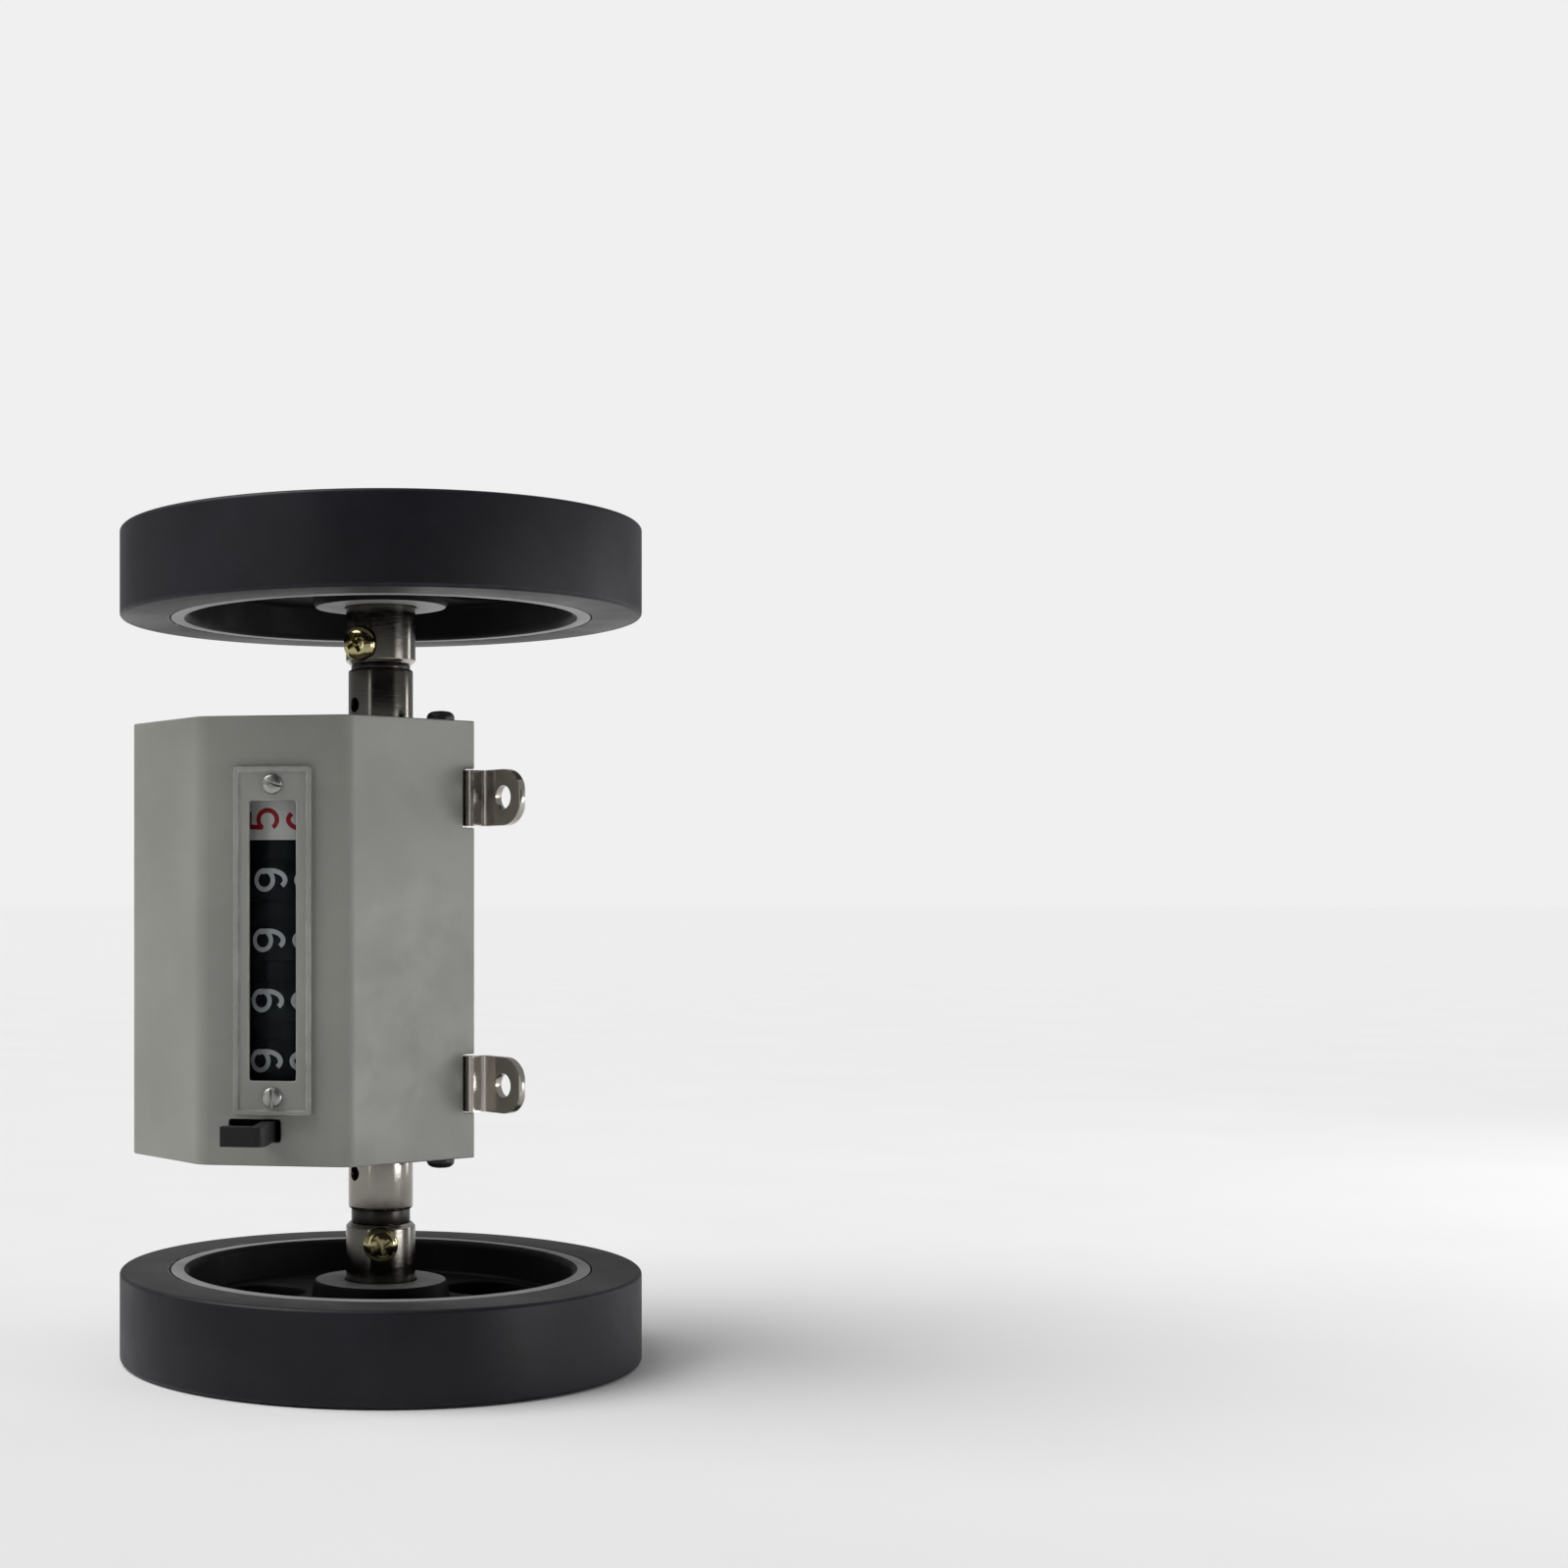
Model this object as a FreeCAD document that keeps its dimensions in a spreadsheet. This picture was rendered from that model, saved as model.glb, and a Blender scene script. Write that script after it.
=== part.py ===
import FreeCAD, Part
import math
import os

import Sketcher

# Roller-type length counter. The axle stands upright along +Z and the lower wheel rests on z = 0.
# The front of the casing faces -Y, its lugged base faces +X and its top faces -X.
# The number wheels show through a window in the chamfer between top and front.

SIZES = {
    # measuring wheels and axle
    "overall_length": 168.0,
    "wheel_radius": 53.05,
    "wheel_width": 18.0,
    "tyre_thickness": 10.05,
    "tyre_edge": 1.2,
    "rim_thickness": 4.0,
    "rim_bevel": 0.8,
    "web_thickness": 4.0,
    "boss_radius": 13.5,
    "boss_setback": 2.5,
    "hand_hole_rim_gap": 2.7,
    "hand_hole_boss_gap": 4.8,
    "hand_hole_count": 6,
    "shaft_radius": 4.0,
    "shaft_setback": 4.0,
    "collar_radius": 7.1,
    "collar_bevel": 0.8,
    "collar_gap": 2.0,
    "clamp_screw_inset": 3.7,
    "clamp_screw_radius": 2.0,
    "clamp_head_radius": 3.5,
    "clamp_head_height": 2.4,
    "lower_clamp_bearing": 234.5,
    "upper_clamp_bearing": 202.5,
    "thrust_collar_radius": 6.8,
    "thrust_collar_width": 3.4,
    "grub_radius": 1.2,
    # casing
    "casing_shift": 0.9,
    "cover_sheet": 1.2,
    "cover_front": 16.5,
    "cover_rear": 31.5,
    "cover_top": 40.5,
    "cover_base": 11.5,
    "chamfer_leg": 21.0,
    "bend_radius": 1.3,
    "fit_gap": 0.3,
    # frame inside the casing
    "plate_sheet": 2.0,
    "flange_sheet": 1.5,
    "flange_depth": 9.8,
    "base_sheet": 1.5,
    "base_inset": 1.0,
    "foot_drop": 2.5,
    "lug_width": 11.2,
    "lug_spacing": 57.4,
    "lug_shift": 0.3,
    "lug_hole_reach": 7.9,
    "lug_hole_radius": 2.4,
    "rivet_radius": 1.5,
    "rivet_head_radius": 2.6,
    "rivet_head_height": 1.0,
    "rivet_edge": 7.0,
    "bearing_radius": 6.6,
    "bearing_lead": 1.6,
    "bearing_spigot_radius": 6.0,
    "bearing_spigot_step": 1.2,
    "oil_hole_radius": 1.3,
    "oil_hole_stand": 3.5,
    "running_gap": 0.05,
    "end_float": 0.2,
    "cover_screw_base": 5.6,
    "cover_screw_edge": 4.0,
    "cover_screw_radius": 1.5,
    "cover_head_radius": 2.8,
    "cover_head_height": 2.0,
    "cover_screw_length": 6.0,
    # window
    "window_length": 54.6,
    "window_width": 9.3,
    "window_margin": 16.7,
    "bezel_end": 6.65,
    "bezel_width": 15.4,
    "bezel_plate": 1.0,
    "bezel_rim_height": 0.5,
    "bezel_rim_width": 0.9,
    "bezel_screw_step": 3.2,
    "bezel_screw_radius": 1.0,
    "bezel_head_radius": 2.0,
    "bezel_head_height": 0.9,
    "bezel_notch_radius": 2.6,
    "bezel_notch_depth": 0.35,
    "pane_thickness": 1.0,
    "pane_lap": 2.0,
    # register
    "gear_module": 0.6,
    "shaft_teeth": 16,
    "gear_teeth": 48,
    "gear_width": 2.6,
    "shaft_pinion_width": 3.4,
    "gear_stand": 1.7,
    "gear_hub_radius": 6.0,
    "counter_bearing": 160.2,
    "counter_shaft_radius": 2.0,
    "window_spare": 7.08,
    "figure_radius": 13.0,
    "figure_gap": 3.88,
    "figure_wall": 1.3,
    "figure_web": 1.6,
    "figure_hub_radius": 4.0,
    "carry_module": 1.2,
    "carry_addendum": 0.8,
    "ring_teeth": 20,
    "pinion_teeth": 8,
    "ring_width": 1.8,
    "ring_wall": 1.0,
    "carry_tooth_height": 1.2,
    "carry_disc_width": 1.7,
    "carry_tooth_width": 1.6,
    "pinion_width": 3.5,
    "pinion_bearing": 90.0,
    "pinion_shaft_radius": 1.5,
    "backlash": 0.16,
    "spacer_radius": 2.8,
    "clip_radius": 3.4,
    "clip_thickness": 0.6,
    "clip_mouth": 2.4,
    # reset lever
    "lever_drop": 1.25,
    "lever_thickness": 3.8,
    "lever_hub_radius": 4.2,
    "lever_strip": 2.8,
    "lever_stand_off": 13.2,
    "lever_inner_lean": 1.6,
    "lever_outer_lean": 2.2,
    "lever_tip": 7.2,
    "lever_corner": 2.2,
    "lever_swing": 19.0,
    "spring_wire_radius": 0.4,
    "spring_radius": 3.6,
    "spring_leg_trim": 0.01,
    "spring_turns": 3,
    # heads of screws and rivets, as shares of the head's height and radius
    "head_side": 0.45,
    "head_crown": 0.62,
    "drive_width": 0.26,
    "drive_reach": 0.55,
    "drive_depth": 0.6,
}

DIGIT_NAMES = ["thousands", "hundreds", "tens", "units", "tenths"]
CARRIES = len(DIGIT_NAMES) - 1

# Sizes that follow from the ones above through a named wall, gap or margin
FOLLOWING = {
    "tyre_inner_radius": "wheel_radius - tyre_thickness",
    "wheel_recess_radius": "tyre_inner_radius - rim_thickness",
    "hand_hole_radius": "(wheel_recess_radius - boss_radius - hand_hole_rim_gap - hand_hole_boss_gap) / 2",
    "hand_hole_circle": "boss_radius + hand_hole_boss_gap + hand_hole_radius",
    "cover_length": "window_length + 2 * window_margin",
    "bearing_reach": "((overall_length - cover_length) / 2 - wheel_width - collar_gap + bearing_lead) / 2",
    "collar_reach": "wheel_width + bearing_reach - bearing_lead",
    "bezel_length": "window_length + 2 * bezel_end",
    "bezel_screw_spacing": "window_length + 2 * bezel_screw_step",
    "wheel_pitch": f"(window_length - window_spare) / {CARRIES}",
    "figure_width": "wheel_pitch - figure_gap",
}

PRESSURE_ANGLE = math.radians(20)
DEDENDUM = 1.25
CORNER_MIDDLE = "(1 - 1 / sqrt(2))"
FACET_BEARING = 225
MATCH = 0.01

PARTS_FOLDER = "parts"

doc = FreeCAD.newDocument("length_counter")
sheet = doc.addObject("Spreadsheet::Sheet", "sizes")
for row, (alias, number) in enumerate(SIZES.items(), start=1):
    sheet.set(f"A{row}", alias.replace("_", " "))
    sheet.set(f"B{row}", str(number))
    sheet.setAlias(f"B{row}", alias)
doc.recompute()

nodes = []


def size(formula):
    """Value of a formula over the sheet's named sizes, where each name stands alone."""
    return float(sheet.evalExpression(cell_names(formula)))


def cell_names(formula):
    """The formula with every size written as a cell of the sheet, or as the formula that it follows."""
    words = []
    word = ""
    for mark in str(formula) + " ":
        if mark.isalnum() or mark in "_.":
            word += mark
            continue
        if word in SIZES:
            word = "sizes." + word
        if word in FOLLOWING:
            word = f"({cell_names(FOLLOWING[word])})"
        words.append(word + mark)
        word = ""
    return "".join(words).strip()


def bind(thing, path, formula):
    """Tie one property of an object to the sheet."""
    thing.setExpression(path, cell_names(formula))


# Places that several pieces share

CASING_MIDDLE = "(overall_length / 2 + casing_shift)"
COVER_LOW = f"({CASING_MIDDLE} - cover_length / 2)"
COVER_HIGH = f"({CASING_MIDDLE} + cover_length / 2)"
PLATE_LOW = f"({COVER_LOW} + cover_sheet)"
PLATE_HIGH = f"({COVER_HIGH} - cover_sheet)"
BAY_LOW = f"({PLATE_LOW} + plate_sheet)"
BAY_HIGH = f"({PLATE_HIGH} - plate_sheet)"
GEAR_CENTRES = "gear_module * (shaft_teeth + gear_teeth) / 2"
COUNTER_X = f"({GEAR_CENTRES} * cos(counter_bearing))"
COUNTER_Y = f"({GEAR_CENTRES} * sin(counter_bearing))"
CARRY_CENTRES = "carry_module * (ring_teeth + pinion_teeth) / 2"
PINION_X = f"({COUNTER_X} + {CARRY_CENTRES} * cos(pinion_bearing))"
PINION_Y = f"({COUNTER_Y} + {CARRY_CENTRES} * sin(pinion_bearing))"
FACET_X = "(chamfer_leg / 2 - cover_top)"
FACET_Y = "(chamfer_leg / 2 - cover_front)"
WINDOW_LEVEL = CASING_MIDDLE
BASE_TOP = "(cover_base - base_inset - base_sheet)"
FOOT_TOP = "(cover_base + foot_drop - base_sheet)"
COVER_MIDDLE = "((cover_rear - cover_front) / 2)"
LUG_REACH = f"((cover_rear + cover_front) / 2 + lug_hole_reach)"
LUG_LEVEL = f"({CASING_MIDDLE} - lug_shift)"
SCREW_BASE = "(cover_base - cover_screw_base)"
SCREW_REACH = "((cover_rear + cover_front) / 2 - cover_screw_edge)"
PINION_TIP = "(carry_module * (pinion_teeth / 2 + carry_addendum))"
RING_TIP = "(carry_module * (ring_teeth / 2 + carry_addendum))"
CARRY_TOOTH_TIP = f"({CARRY_CENTRES} - {PINION_TIP} - fit_gap)"
HUB_REACH = "(wheel_pitch / 2 - end_float / 2)"
GEAR_LOW = f"({WINDOW_LEVEL} + {CARRIES / 2} * wheel_pitch + {HUB_REACH} + gear_stand)"
GEAR_HIGH = f"({GEAR_LOW} + gear_width)"
GEAR_MIDDLE = f"({GEAR_LOW} + gear_width / 2)"
LEVER_HIGH = f"({WINDOW_LEVEL} - bezel_length / 2 - lever_drop)"
LEVER_LOW = f"({LEVER_HIGH} - lever_thickness)"
LEVER_GRUB_LEVEL = f"({LEVER_LOW} + lever_thickness / 2)"
RIVET_REACH = f"({SCREW_REACH} - rivet_edge)"
CLIP_LOW = f"({BAY_HIGH} - fit_gap - clip_thickness)"
ORIGIN = FreeCAD.Vector(0, 0, 0)
UP = FreeCAD.Vector(0, 0, 1)


# Drawing helpers

def new_body(name):
    body = doc.addObject("PartDesign::Body", name)
    body.Label = name
    nodes.append(body)
    return body


def origin_plane(body, role):
    for feature in body.Origin.OriginFeatures:
        if feature.Role == role:
            return feature
    raise ValueError(role)


def new_sketch(body, name, role="XY_Plane", lift="0"):
    """Sketch on one of the body's origin planes, lifted along the plane's normal."""
    sketch = body.newObject("Sketcher::SketchObject", name)
    sketch.AttachmentSupport = [(origin_plane(body, role), "")]
    sketch.MapMode = "FlatFace"
    bind(sketch, "AttachmentOffset.Base.z", lift)
    return sketch


def facet_sketch(body, name, proud="0"):
    """Sketch on the chamfer facet: its x runs from the top edge to the front edge, its y along +Z."""
    sketch = body.newObject("Sketcher::SketchObject", name)
    sketch.AttachmentSupport = [(origin_plane(body, "XY_Plane"), "")]
    sketch.MapMode = "FlatFace"
    along = FreeCAD.Vector(1, -1, 0)
    outward = FreeCAD.Vector(-1, -1, 0)
    sketch.AttachmentOffset = FreeCAD.Placement(ORIGIN, FreeCAD.Rotation(along, UP, outward, "ZXY"))
    bind(sketch, "AttachmentOffset.Base.x", f"{FACET_X} - ({proud}) / sqrt(2)")
    bind(sketch, "AttachmentOffset.Base.y", f"{FACET_Y} - ({proud}) / sqrt(2)")
    bind(sketch, "AttachmentOffset.Base.z", WINDOW_LEVEL)
    return sketch


def dimension(sketch, kind, geometry, point, formula):
    """Bound dimension: a point's distance from the origin along X or Y, or a circle's radius."""
    number = size(formula)
    if kind == "Radius":
        index = sketch.addConstraint(Sketcher.Constraint(kind, geometry, number))
    else:
        index = sketch.addConstraint(Sketcher.Constraint(kind, geometry, point, number))
    name = f"{kind}_{geometry}_{point}"
    sketch.renameConstraint(index, name)
    bind(sketch, f"Constraints.{name}", formula)


def outline(sketch, corners):
    """Closed outline of straight sides through corners given as pairs of formulas."""
    first = sketch.GeometryCount
    count = len(corners)
    points = [FreeCAD.Vector(size(x), size(y), 0) for x, y in corners]
    for i in range(count):
        sketch.addGeometry(Part.LineSegment(points[i], points[(i + 1) % count]), False)
    for i in range(count):
        sketch.addConstraint(Sketcher.Constraint("Coincident", first + i, 2, first + (i + 1) % count, 1))
    for i, (x, y) in enumerate(corners):
        dimension(sketch, "DistanceX", first + i, 1, x)
        dimension(sketch, "DistanceY", first + i, 1, y)


def rectangle(sketch, low_x, low_y, high_x, high_y):
    outline(sketch, [(low_x, low_y), (high_x, low_y), (high_x, high_y), (low_x, high_y)])


def circle(sketch, x, y, radius):
    ring = Part.Circle(FreeCAD.Vector(size(x), size(y), 0), UP, size(radius))
    index = sketch.addGeometry(ring, False)
    dimension(sketch, "Radius", index, 3, radius)
    dimension(sketch, "DistanceX", index, 3, x)
    dimension(sketch, "DistanceY", index, 3, y)


def pad(body, sketch, length, reverse=False):
    feature = body.newObject("PartDesign::Pad", sketch.Name + "_pad")
    feature.Profile = sketch
    feature.Reversed = reverse
    bind(feature, "Length", length)
    doc.recompute()
    return feature


def pocket(body, sketch, length=None, both_ways=False):
    """Cut against the sketch's normal, or right through where no length is given."""
    feature = body.newObject("PartDesign::Pocket", sketch.Name + "_cut")
    feature.Profile = sketch
    feature.Midplane = both_ways
    if length is None:
        feature.Type = "ThroughAll"
    else:
        bind(feature, "Length", length)
    doc.recompute()
    return feature


def turned(body, name, profile):
    """Solid of revolution about +Z from an outline of (radius, level) pairs."""
    sketch = new_sketch(body, name, "XZ_Plane")
    outline(sketch, profile)
    feature = body.newObject("PartDesign::Revolution", name + "_turned")
    feature.Profile = sketch
    feature.ReferenceAxis = (sketch, ["V_Axis"])
    feature.Angle = 360
    doc.recompute()
    return feature


def repeat_round(body, feature, axis_sketch, count):
    pattern = body.newObject("PartDesign::PolarPattern", feature.Name + "_round")
    pattern.Originals = [feature]
    pattern.Axis = (axis_sketch, ["N_Axis"])
    pattern.Angle = 360
    bind(pattern, "Occurrences", count)
    body.Tip = pattern
    doc.recompute()
    return pattern


def place(thing, x="0", y="0", z="0", turn=None):
    """Set the piece in the assembly, turned about +Z where an angle is given."""
    if turn is not None:
        thing.Placement = FreeCAD.Placement(ORIGIN, FreeCAD.Rotation(UP, turn))
    bind(thing, "Placement.Base.x", x)
    bind(thing, "Placement.Base.y", y)
    bind(thing, "Placement.Base.z", z)


def upright_edges(shape, x, y):
    """Names of the edges parallel to Z that stand at one place in plan."""
    names = []
    for number, edge in enumerate(shape.Edges, start=1):
        ends = [vertex.Point for vertex in edge.Vertexes]
        if len(ends) < 2 or abs(ends[0].z - ends[1].z) < MATCH:
            continue
        if all(abs(end.x - x) < MATCH and abs(end.y - y) < MATCH for end in ends):
            names.append(f"Edge{number}")
    return names


def fillet_upright(body, feature, corners, radius):
    """Round the upright edges that stand at the given corners."""
    names = []
    for x, y in corners:
        names += upright_edges(feature.Shape, size(x), size(y))
    rounding = body.newObject("PartDesign::Fillet", feature.Name + "_bends")
    rounding.Base = (feature, names)
    bind(rounding, "Radius", radius)
    doc.recompute()
    return rounding


def rod(name, radius, low, high, x="0", y="0", bore=None):
    """Plain or hollow round bar along +Z."""
    body = new_body(name)
    sketch = new_sketch(body, name + "_section", lift=low)
    circle(sketch, "0", "0", radius)
    if bore is not None:
        circle(sketch, "0", "0", bore)
    pad(body, sketch, f"({high}) - ({low})")
    place(body, x, y)
    return body


def group(name, pieces):
    """Identical fasteners kept together as separate solids in one node."""
    node = doc.addObject("Part::Compound", name)
    node.Label = name
    node.Links = pieces
    nodes.append(node)
    return node


def screw(name, radius, length, head_radius, head_height):
    """Pan-head screw or rivet along -Z, with the seat of its head at its origin."""
    body = doc.addObject("PartDesign::Body", name)
    turned(body, name + "_profile", [
        ("0", f"-({length})"),
        (radius, f"-({length})"),
        (radius, "0"),
        (head_radius, "0"),
        (head_radius, f"{head_height} * head_side"),
        (f"{head_radius} * head_crown", head_height),
        ("0", head_height),
    ])
    return body


def drive_slot(body, head_radius, head_height):
    """Straight screwdriver slot right across a head."""
    slot = new_sketch(body, body.Name + "_slot", lift=head_height)
    half = f"{head_radius} * drive_width / 2"
    rectangle(slot, f"-{head_radius} - 1", f"-({half})", f"{head_radius} + 1", half)
    pocket(body, slot, f"{head_height} * drive_depth")


def drive_cross(body, head_radius, head_height):
    """Cross recess sunk in the middle of a head."""
    recess = new_sketch(body, body.Name + "_recess", lift=head_height)
    near = f"{head_radius} * drive_width / 2"
    far = f"{head_radius} * drive_reach"
    arm = [(far, f"-({near})"), (far, near), (near, near)]
    corners = []
    for quarter in range(4):
        corners += arm
        arm = [(f"-({y})", x) for x, y in arm]
    outline(recess, corners)
    pocket(body, recess, f"{head_height} * drive_depth")


def point_along(thing, direction, x, y, z):
    """Turn a piece so that its own +Z points along the direction, and set it at a place."""
    thing.Placement = FreeCAD.Placement(ORIGIN, FreeCAD.Rotation(UP, direction))
    bind(thing, "Placement.Base.x", x)
    bind(thing, "Placement.Base.y", y)
    bind(thing, "Placement.Base.z", z)


# Gear geometry

def tooth_space(module, teeth, slack, addendum):
    """Half of the space between two involute teeth, as (radius, half angle) from root to past the tip."""
    pitch_radius = module * teeth / 2
    base_radius = pitch_radius * math.cos(PRESSURE_ANGLE)
    tip_radius = pitch_radius + addendum * module
    root_radius = pitch_radius - DEDENDUM * module

    def involute(radius):
        if radius <= base_radius:
            return 0.0
        pressure = math.acos(base_radius / radius)
        return math.tan(pressure) - pressure

    half_tooth = math.pi / 2 / teeth - slack / 2 / pitch_radius
    points = []
    for radius in (root_radius, pitch_radius, tip_radius):
        tooth = half_tooth + involute(pitch_radius) - involute(radius)
        points.append((radius, math.pi / teeth - tooth))
    points.append((tip_radius + module, points[-1][1]))
    return points


def polar(radius, angle):
    return FreeCAD.Vector(radius * math.cos(angle), radius * math.sin(angle), 0)


def space_sketch(body, name, module, teeth, lift, bearing, addendum):
    """Sketch of one tooth space, centred on a bearing given in degrees."""
    sketch = new_sketch(body, name, lift=lift)
    half = tooth_space(size(module), size(teeth), size("backlash"), size(addendum))
    middle = math.radians(bearing)
    points = [polar(radius, middle + angle) for radius, angle in half]
    points += [polar(radius, middle - angle) for radius, angle in reversed(half)]
    count = len(points)
    for i in range(count):
        sketch.addGeometry(Part.LineSegment(points[i], points[(i + 1) % count]), False)
    for i in range(count):
        sketch.addConstraint(Sketcher.Constraint("Coincident", i, 2, (i + 1) % count, 1))
        sketch.addConstraint(Sketcher.Constraint("Block", i))
    return sketch


def cut_teeth(body, name, module, teeth, top, width, bearing, addendum="1"):
    """Cut every tooth space of a gear, from its top face down through its width."""
    sketch = space_sketch(body, name, module, teeth, top, bearing, addendum)
    space = pocket(body, sketch, width)
    return repeat_round(body, space, sketch, teeth)


def bearing_between(from_x, from_y, to_x, to_y):
    """Direction in plan from one shaft to another, in degrees."""
    return math.degrees(math.atan2(size(to_y) - size(from_y), size(to_x) - size(from_x)))


# Measuring wheels and their axle

def measuring_wheel(name, outer_face, inward):
    """Moulded wheel: rim, thin web with six round holes, and a boss with both faces set back."""
    def level(depth):
        return f"{outer_face} + ({inward}) * ({depth})"

    body = new_body(name)
    web_low = "(wheel_width - web_thickness) / 2"
    web_high = "(wheel_width + web_thickness) / 2"
    turned(body, name + "_profile", [
        ("collar_radius", level("boss_setback")),
        ("boss_radius", level("boss_setback")),
        ("boss_radius + rim_bevel", level(web_low)),
        ("wheel_recess_radius - rim_bevel", level(web_low)),
        ("wheel_recess_radius", level("rim_bevel")),
        ("wheel_recess_radius + rim_bevel", level("0")),
        ("tyre_inner_radius", level("0")),
        ("tyre_inner_radius", level("wheel_width")),
        ("wheel_recess_radius + rim_bevel", level("wheel_width")),
        ("wheel_recess_radius", level("wheel_width - rim_bevel")),
        ("wheel_recess_radius - rim_bevel", level(web_high)),
        ("boss_radius + rim_bevel", level(web_high)),
        ("boss_radius", level("wheel_width - boss_setback")),
        ("collar_radius", level("wheel_width - boss_setback")),
    ])
    hole = new_sketch(body, name + "_hand_hole", lift=level("wheel_width / 2"))
    circle(hole, "hand_hole_circle", "0", "hand_hole_radius")
    one_hole = pocket(body, hole, both_ways=True)
    repeat_round(body, one_hole, hole, "hand_hole_count")
    return body


def tyre(name, low):
    body = new_body(name)
    high = f"{low} + wheel_width"
    turned(body, name + "_profile", [
        ("tyre_inner_radius", low),
        ("wheel_radius - tyre_edge", low),
        (f"wheel_radius - tyre_edge * {CORNER_MIDDLE}", f"{low} + tyre_edge * {CORNER_MIDDLE}"),
        ("wheel_radius", f"{low} + tyre_edge"),
        ("wheel_radius", f"{high} - tyre_edge"),
        (f"wheel_radius - tyre_edge * {CORNER_MIDDLE}", f"{high} - tyre_edge * {CORNER_MIDDLE}"),
        ("wheel_radius - tyre_edge", high),
        ("tyre_inner_radius", high),
    ])
    return body


def clamp_direction(bearing):
    angle = math.radians(size(bearing))
    return FreeCAD.Vector(math.cos(angle), math.sin(angle), 0)


def wheel_collar(name, outer_face, inward, bearing):
    """Steel collar moulded into the boss and clamped to the shaft by one radial screw."""
    body = new_body(name)
    near = f"{outer_face} + ({inward}) * boss_setback"
    far = f"{outer_face} + ({inward}) * collar_reach"
    shoulder = f"{outer_face} + ({inward}) * (collar_reach - collar_bevel)"
    turned(body, name + "_profile", [
        ("shaft_radius", near),
        ("collar_radius", near),
        ("collar_radius", shoulder),
        ("collar_radius - collar_bevel", far),
        ("shaft_radius + collar_bevel", far),
        ("shaft_radius", shoulder),
    ])
    screw_level = f"{outer_face} + ({inward}) * (collar_reach - clamp_screw_inset)"
    drill_radially(body, name + "_screw_hole", "clamp_screw_radius", bearing, screw_level, "collar_radius")
    return body


def drill_radially(body, name, radius, bearing, level, reach):
    """Round hole from the axis outwards, square to Z, along a bearing in plan."""
    sketch = body.newObject("Sketcher::SketchObject", name)
    sketch.AttachmentSupport = [(origin_plane(body, "XY_Plane"), "")]
    sketch.MapMode = "FlatFace"
    inward = clamp_direction(bearing) * -1
    sketch.AttachmentOffset = FreeCAD.Placement(ORIGIN, FreeCAD.Rotation(UP, inward))
    bind(sketch, "AttachmentOffset.Base.z", level)
    circle(sketch, "0", "0", radius)
    return pocket(body, sketch, f"{reach} + 1")


def clamp_screw(name, outer_face, inward, bearing):
    """Yellow zinc pan-head screw, its head standing a little off the collar."""
    level = f"{outer_face} + ({inward}) * (collar_reach - clamp_screw_inset)"
    length = "collar_radius - shaft_radius + fit_gap"
    body = screw(name, "clamp_screw_radius", length, "clamp_head_radius", "clamp_head_height")
    drive_cross(body, "clamp_head_radius", "clamp_head_height")
    nodes.append(body)
    seat = "(collar_radius + fit_gap)"
    point_along(body, clamp_direction(bearing), f"{seat} * cos({bearing})", f"{seat} * sin({bearing})", level)
    return body


def main_shaft():
    """Ground shaft through both wheels, with a small pinion cut on it near its upper end."""
    body = new_body("main_shaft")
    tip = "gear_module * (shaft_teeth / 2 + 1)"
    low = f"{GEAR_MIDDLE} - shaft_pinion_width / 2"
    high = f"{GEAR_MIDDLE} + shaft_pinion_width / 2"
    turned(body, "main_shaft_profile", [
        ("0", "shaft_setback"),
        ("shaft_radius", "shaft_setback"),
        ("shaft_radius", low),
        (tip, low),
        (tip, high),
        ("shaft_radius", high),
        ("shaft_radius", "overall_length - shaft_setback"),
        ("0", "overall_length - shaft_setback"),
    ])
    towards_register = bearing_between("0", "0", COUNTER_X, COUNTER_Y)
    cut_teeth(body, "shaft_tooth_space", "gear_module", "shaft_teeth", high, "shaft_pinion_width",
              towards_register)
    return body


def thrust_collars():
    """Two rings that hold the shaft endways between its bearings, each with a grub screw."""
    lows = {
        "lower": f"{BAY_LOW} + bearing_spigot_step + end_float",
        "upper": f"{BAY_HIGH} - bearing_spigot_step - end_float - thrust_collar_width",
    }
    rings = []
    grubs = []
    for end, low in lows.items():
        ring = doc.addObject("PartDesign::Body", f"{end}_thrust_collar")
        section = new_sketch(ring, f"{end}_thrust_section", lift=low)
        circle(section, "0", "0", "thrust_collar_radius")
        circle(section, "0", "0", "shaft_radius")
        pad(ring, section, "thrust_collar_width")
        middle = f"{low} + thrust_collar_width / 2"
        drill_radially(ring, f"{end}_grub_hole", "grub_radius", "180", middle, "thrust_collar_radius")
        rings.append(ring)
        grub = doc.addObject("Part::Cylinder", f"{end}_grub_screw")
        bind(grub, "Radius", "grub_radius")
        bind(grub, "Height", "thrust_collar_radius - shaft_radius - fit_gap")
        point_along(grub, FreeCAD.Vector(-1, 0, 0), "-shaft_radius", "0", middle)
        grubs.append(grub)
    group("thrust_collars", rings)
    group("collar_grub_screws", grubs)


# Casing

def casing_profile(inset, base):
    """Outline of the chamfered casing, every wall moved inwards by the inset, ending at the base line."""
    lean = f"({inset}) * (sqrt(2) - 1)"
    return [
        (base, f"cover_rear - ({inset})"),
        (f"({inset}) - cover_top", f"cover_rear - ({inset})"),
        (f"({inset}) - cover_top", f"chamfer_leg - cover_front + {lean}"),
        (f"chamfer_leg - cover_top + {lean}", f"({inset}) - cover_front"),
        (base, f"({inset}) - cover_front"),
    ]


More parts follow.
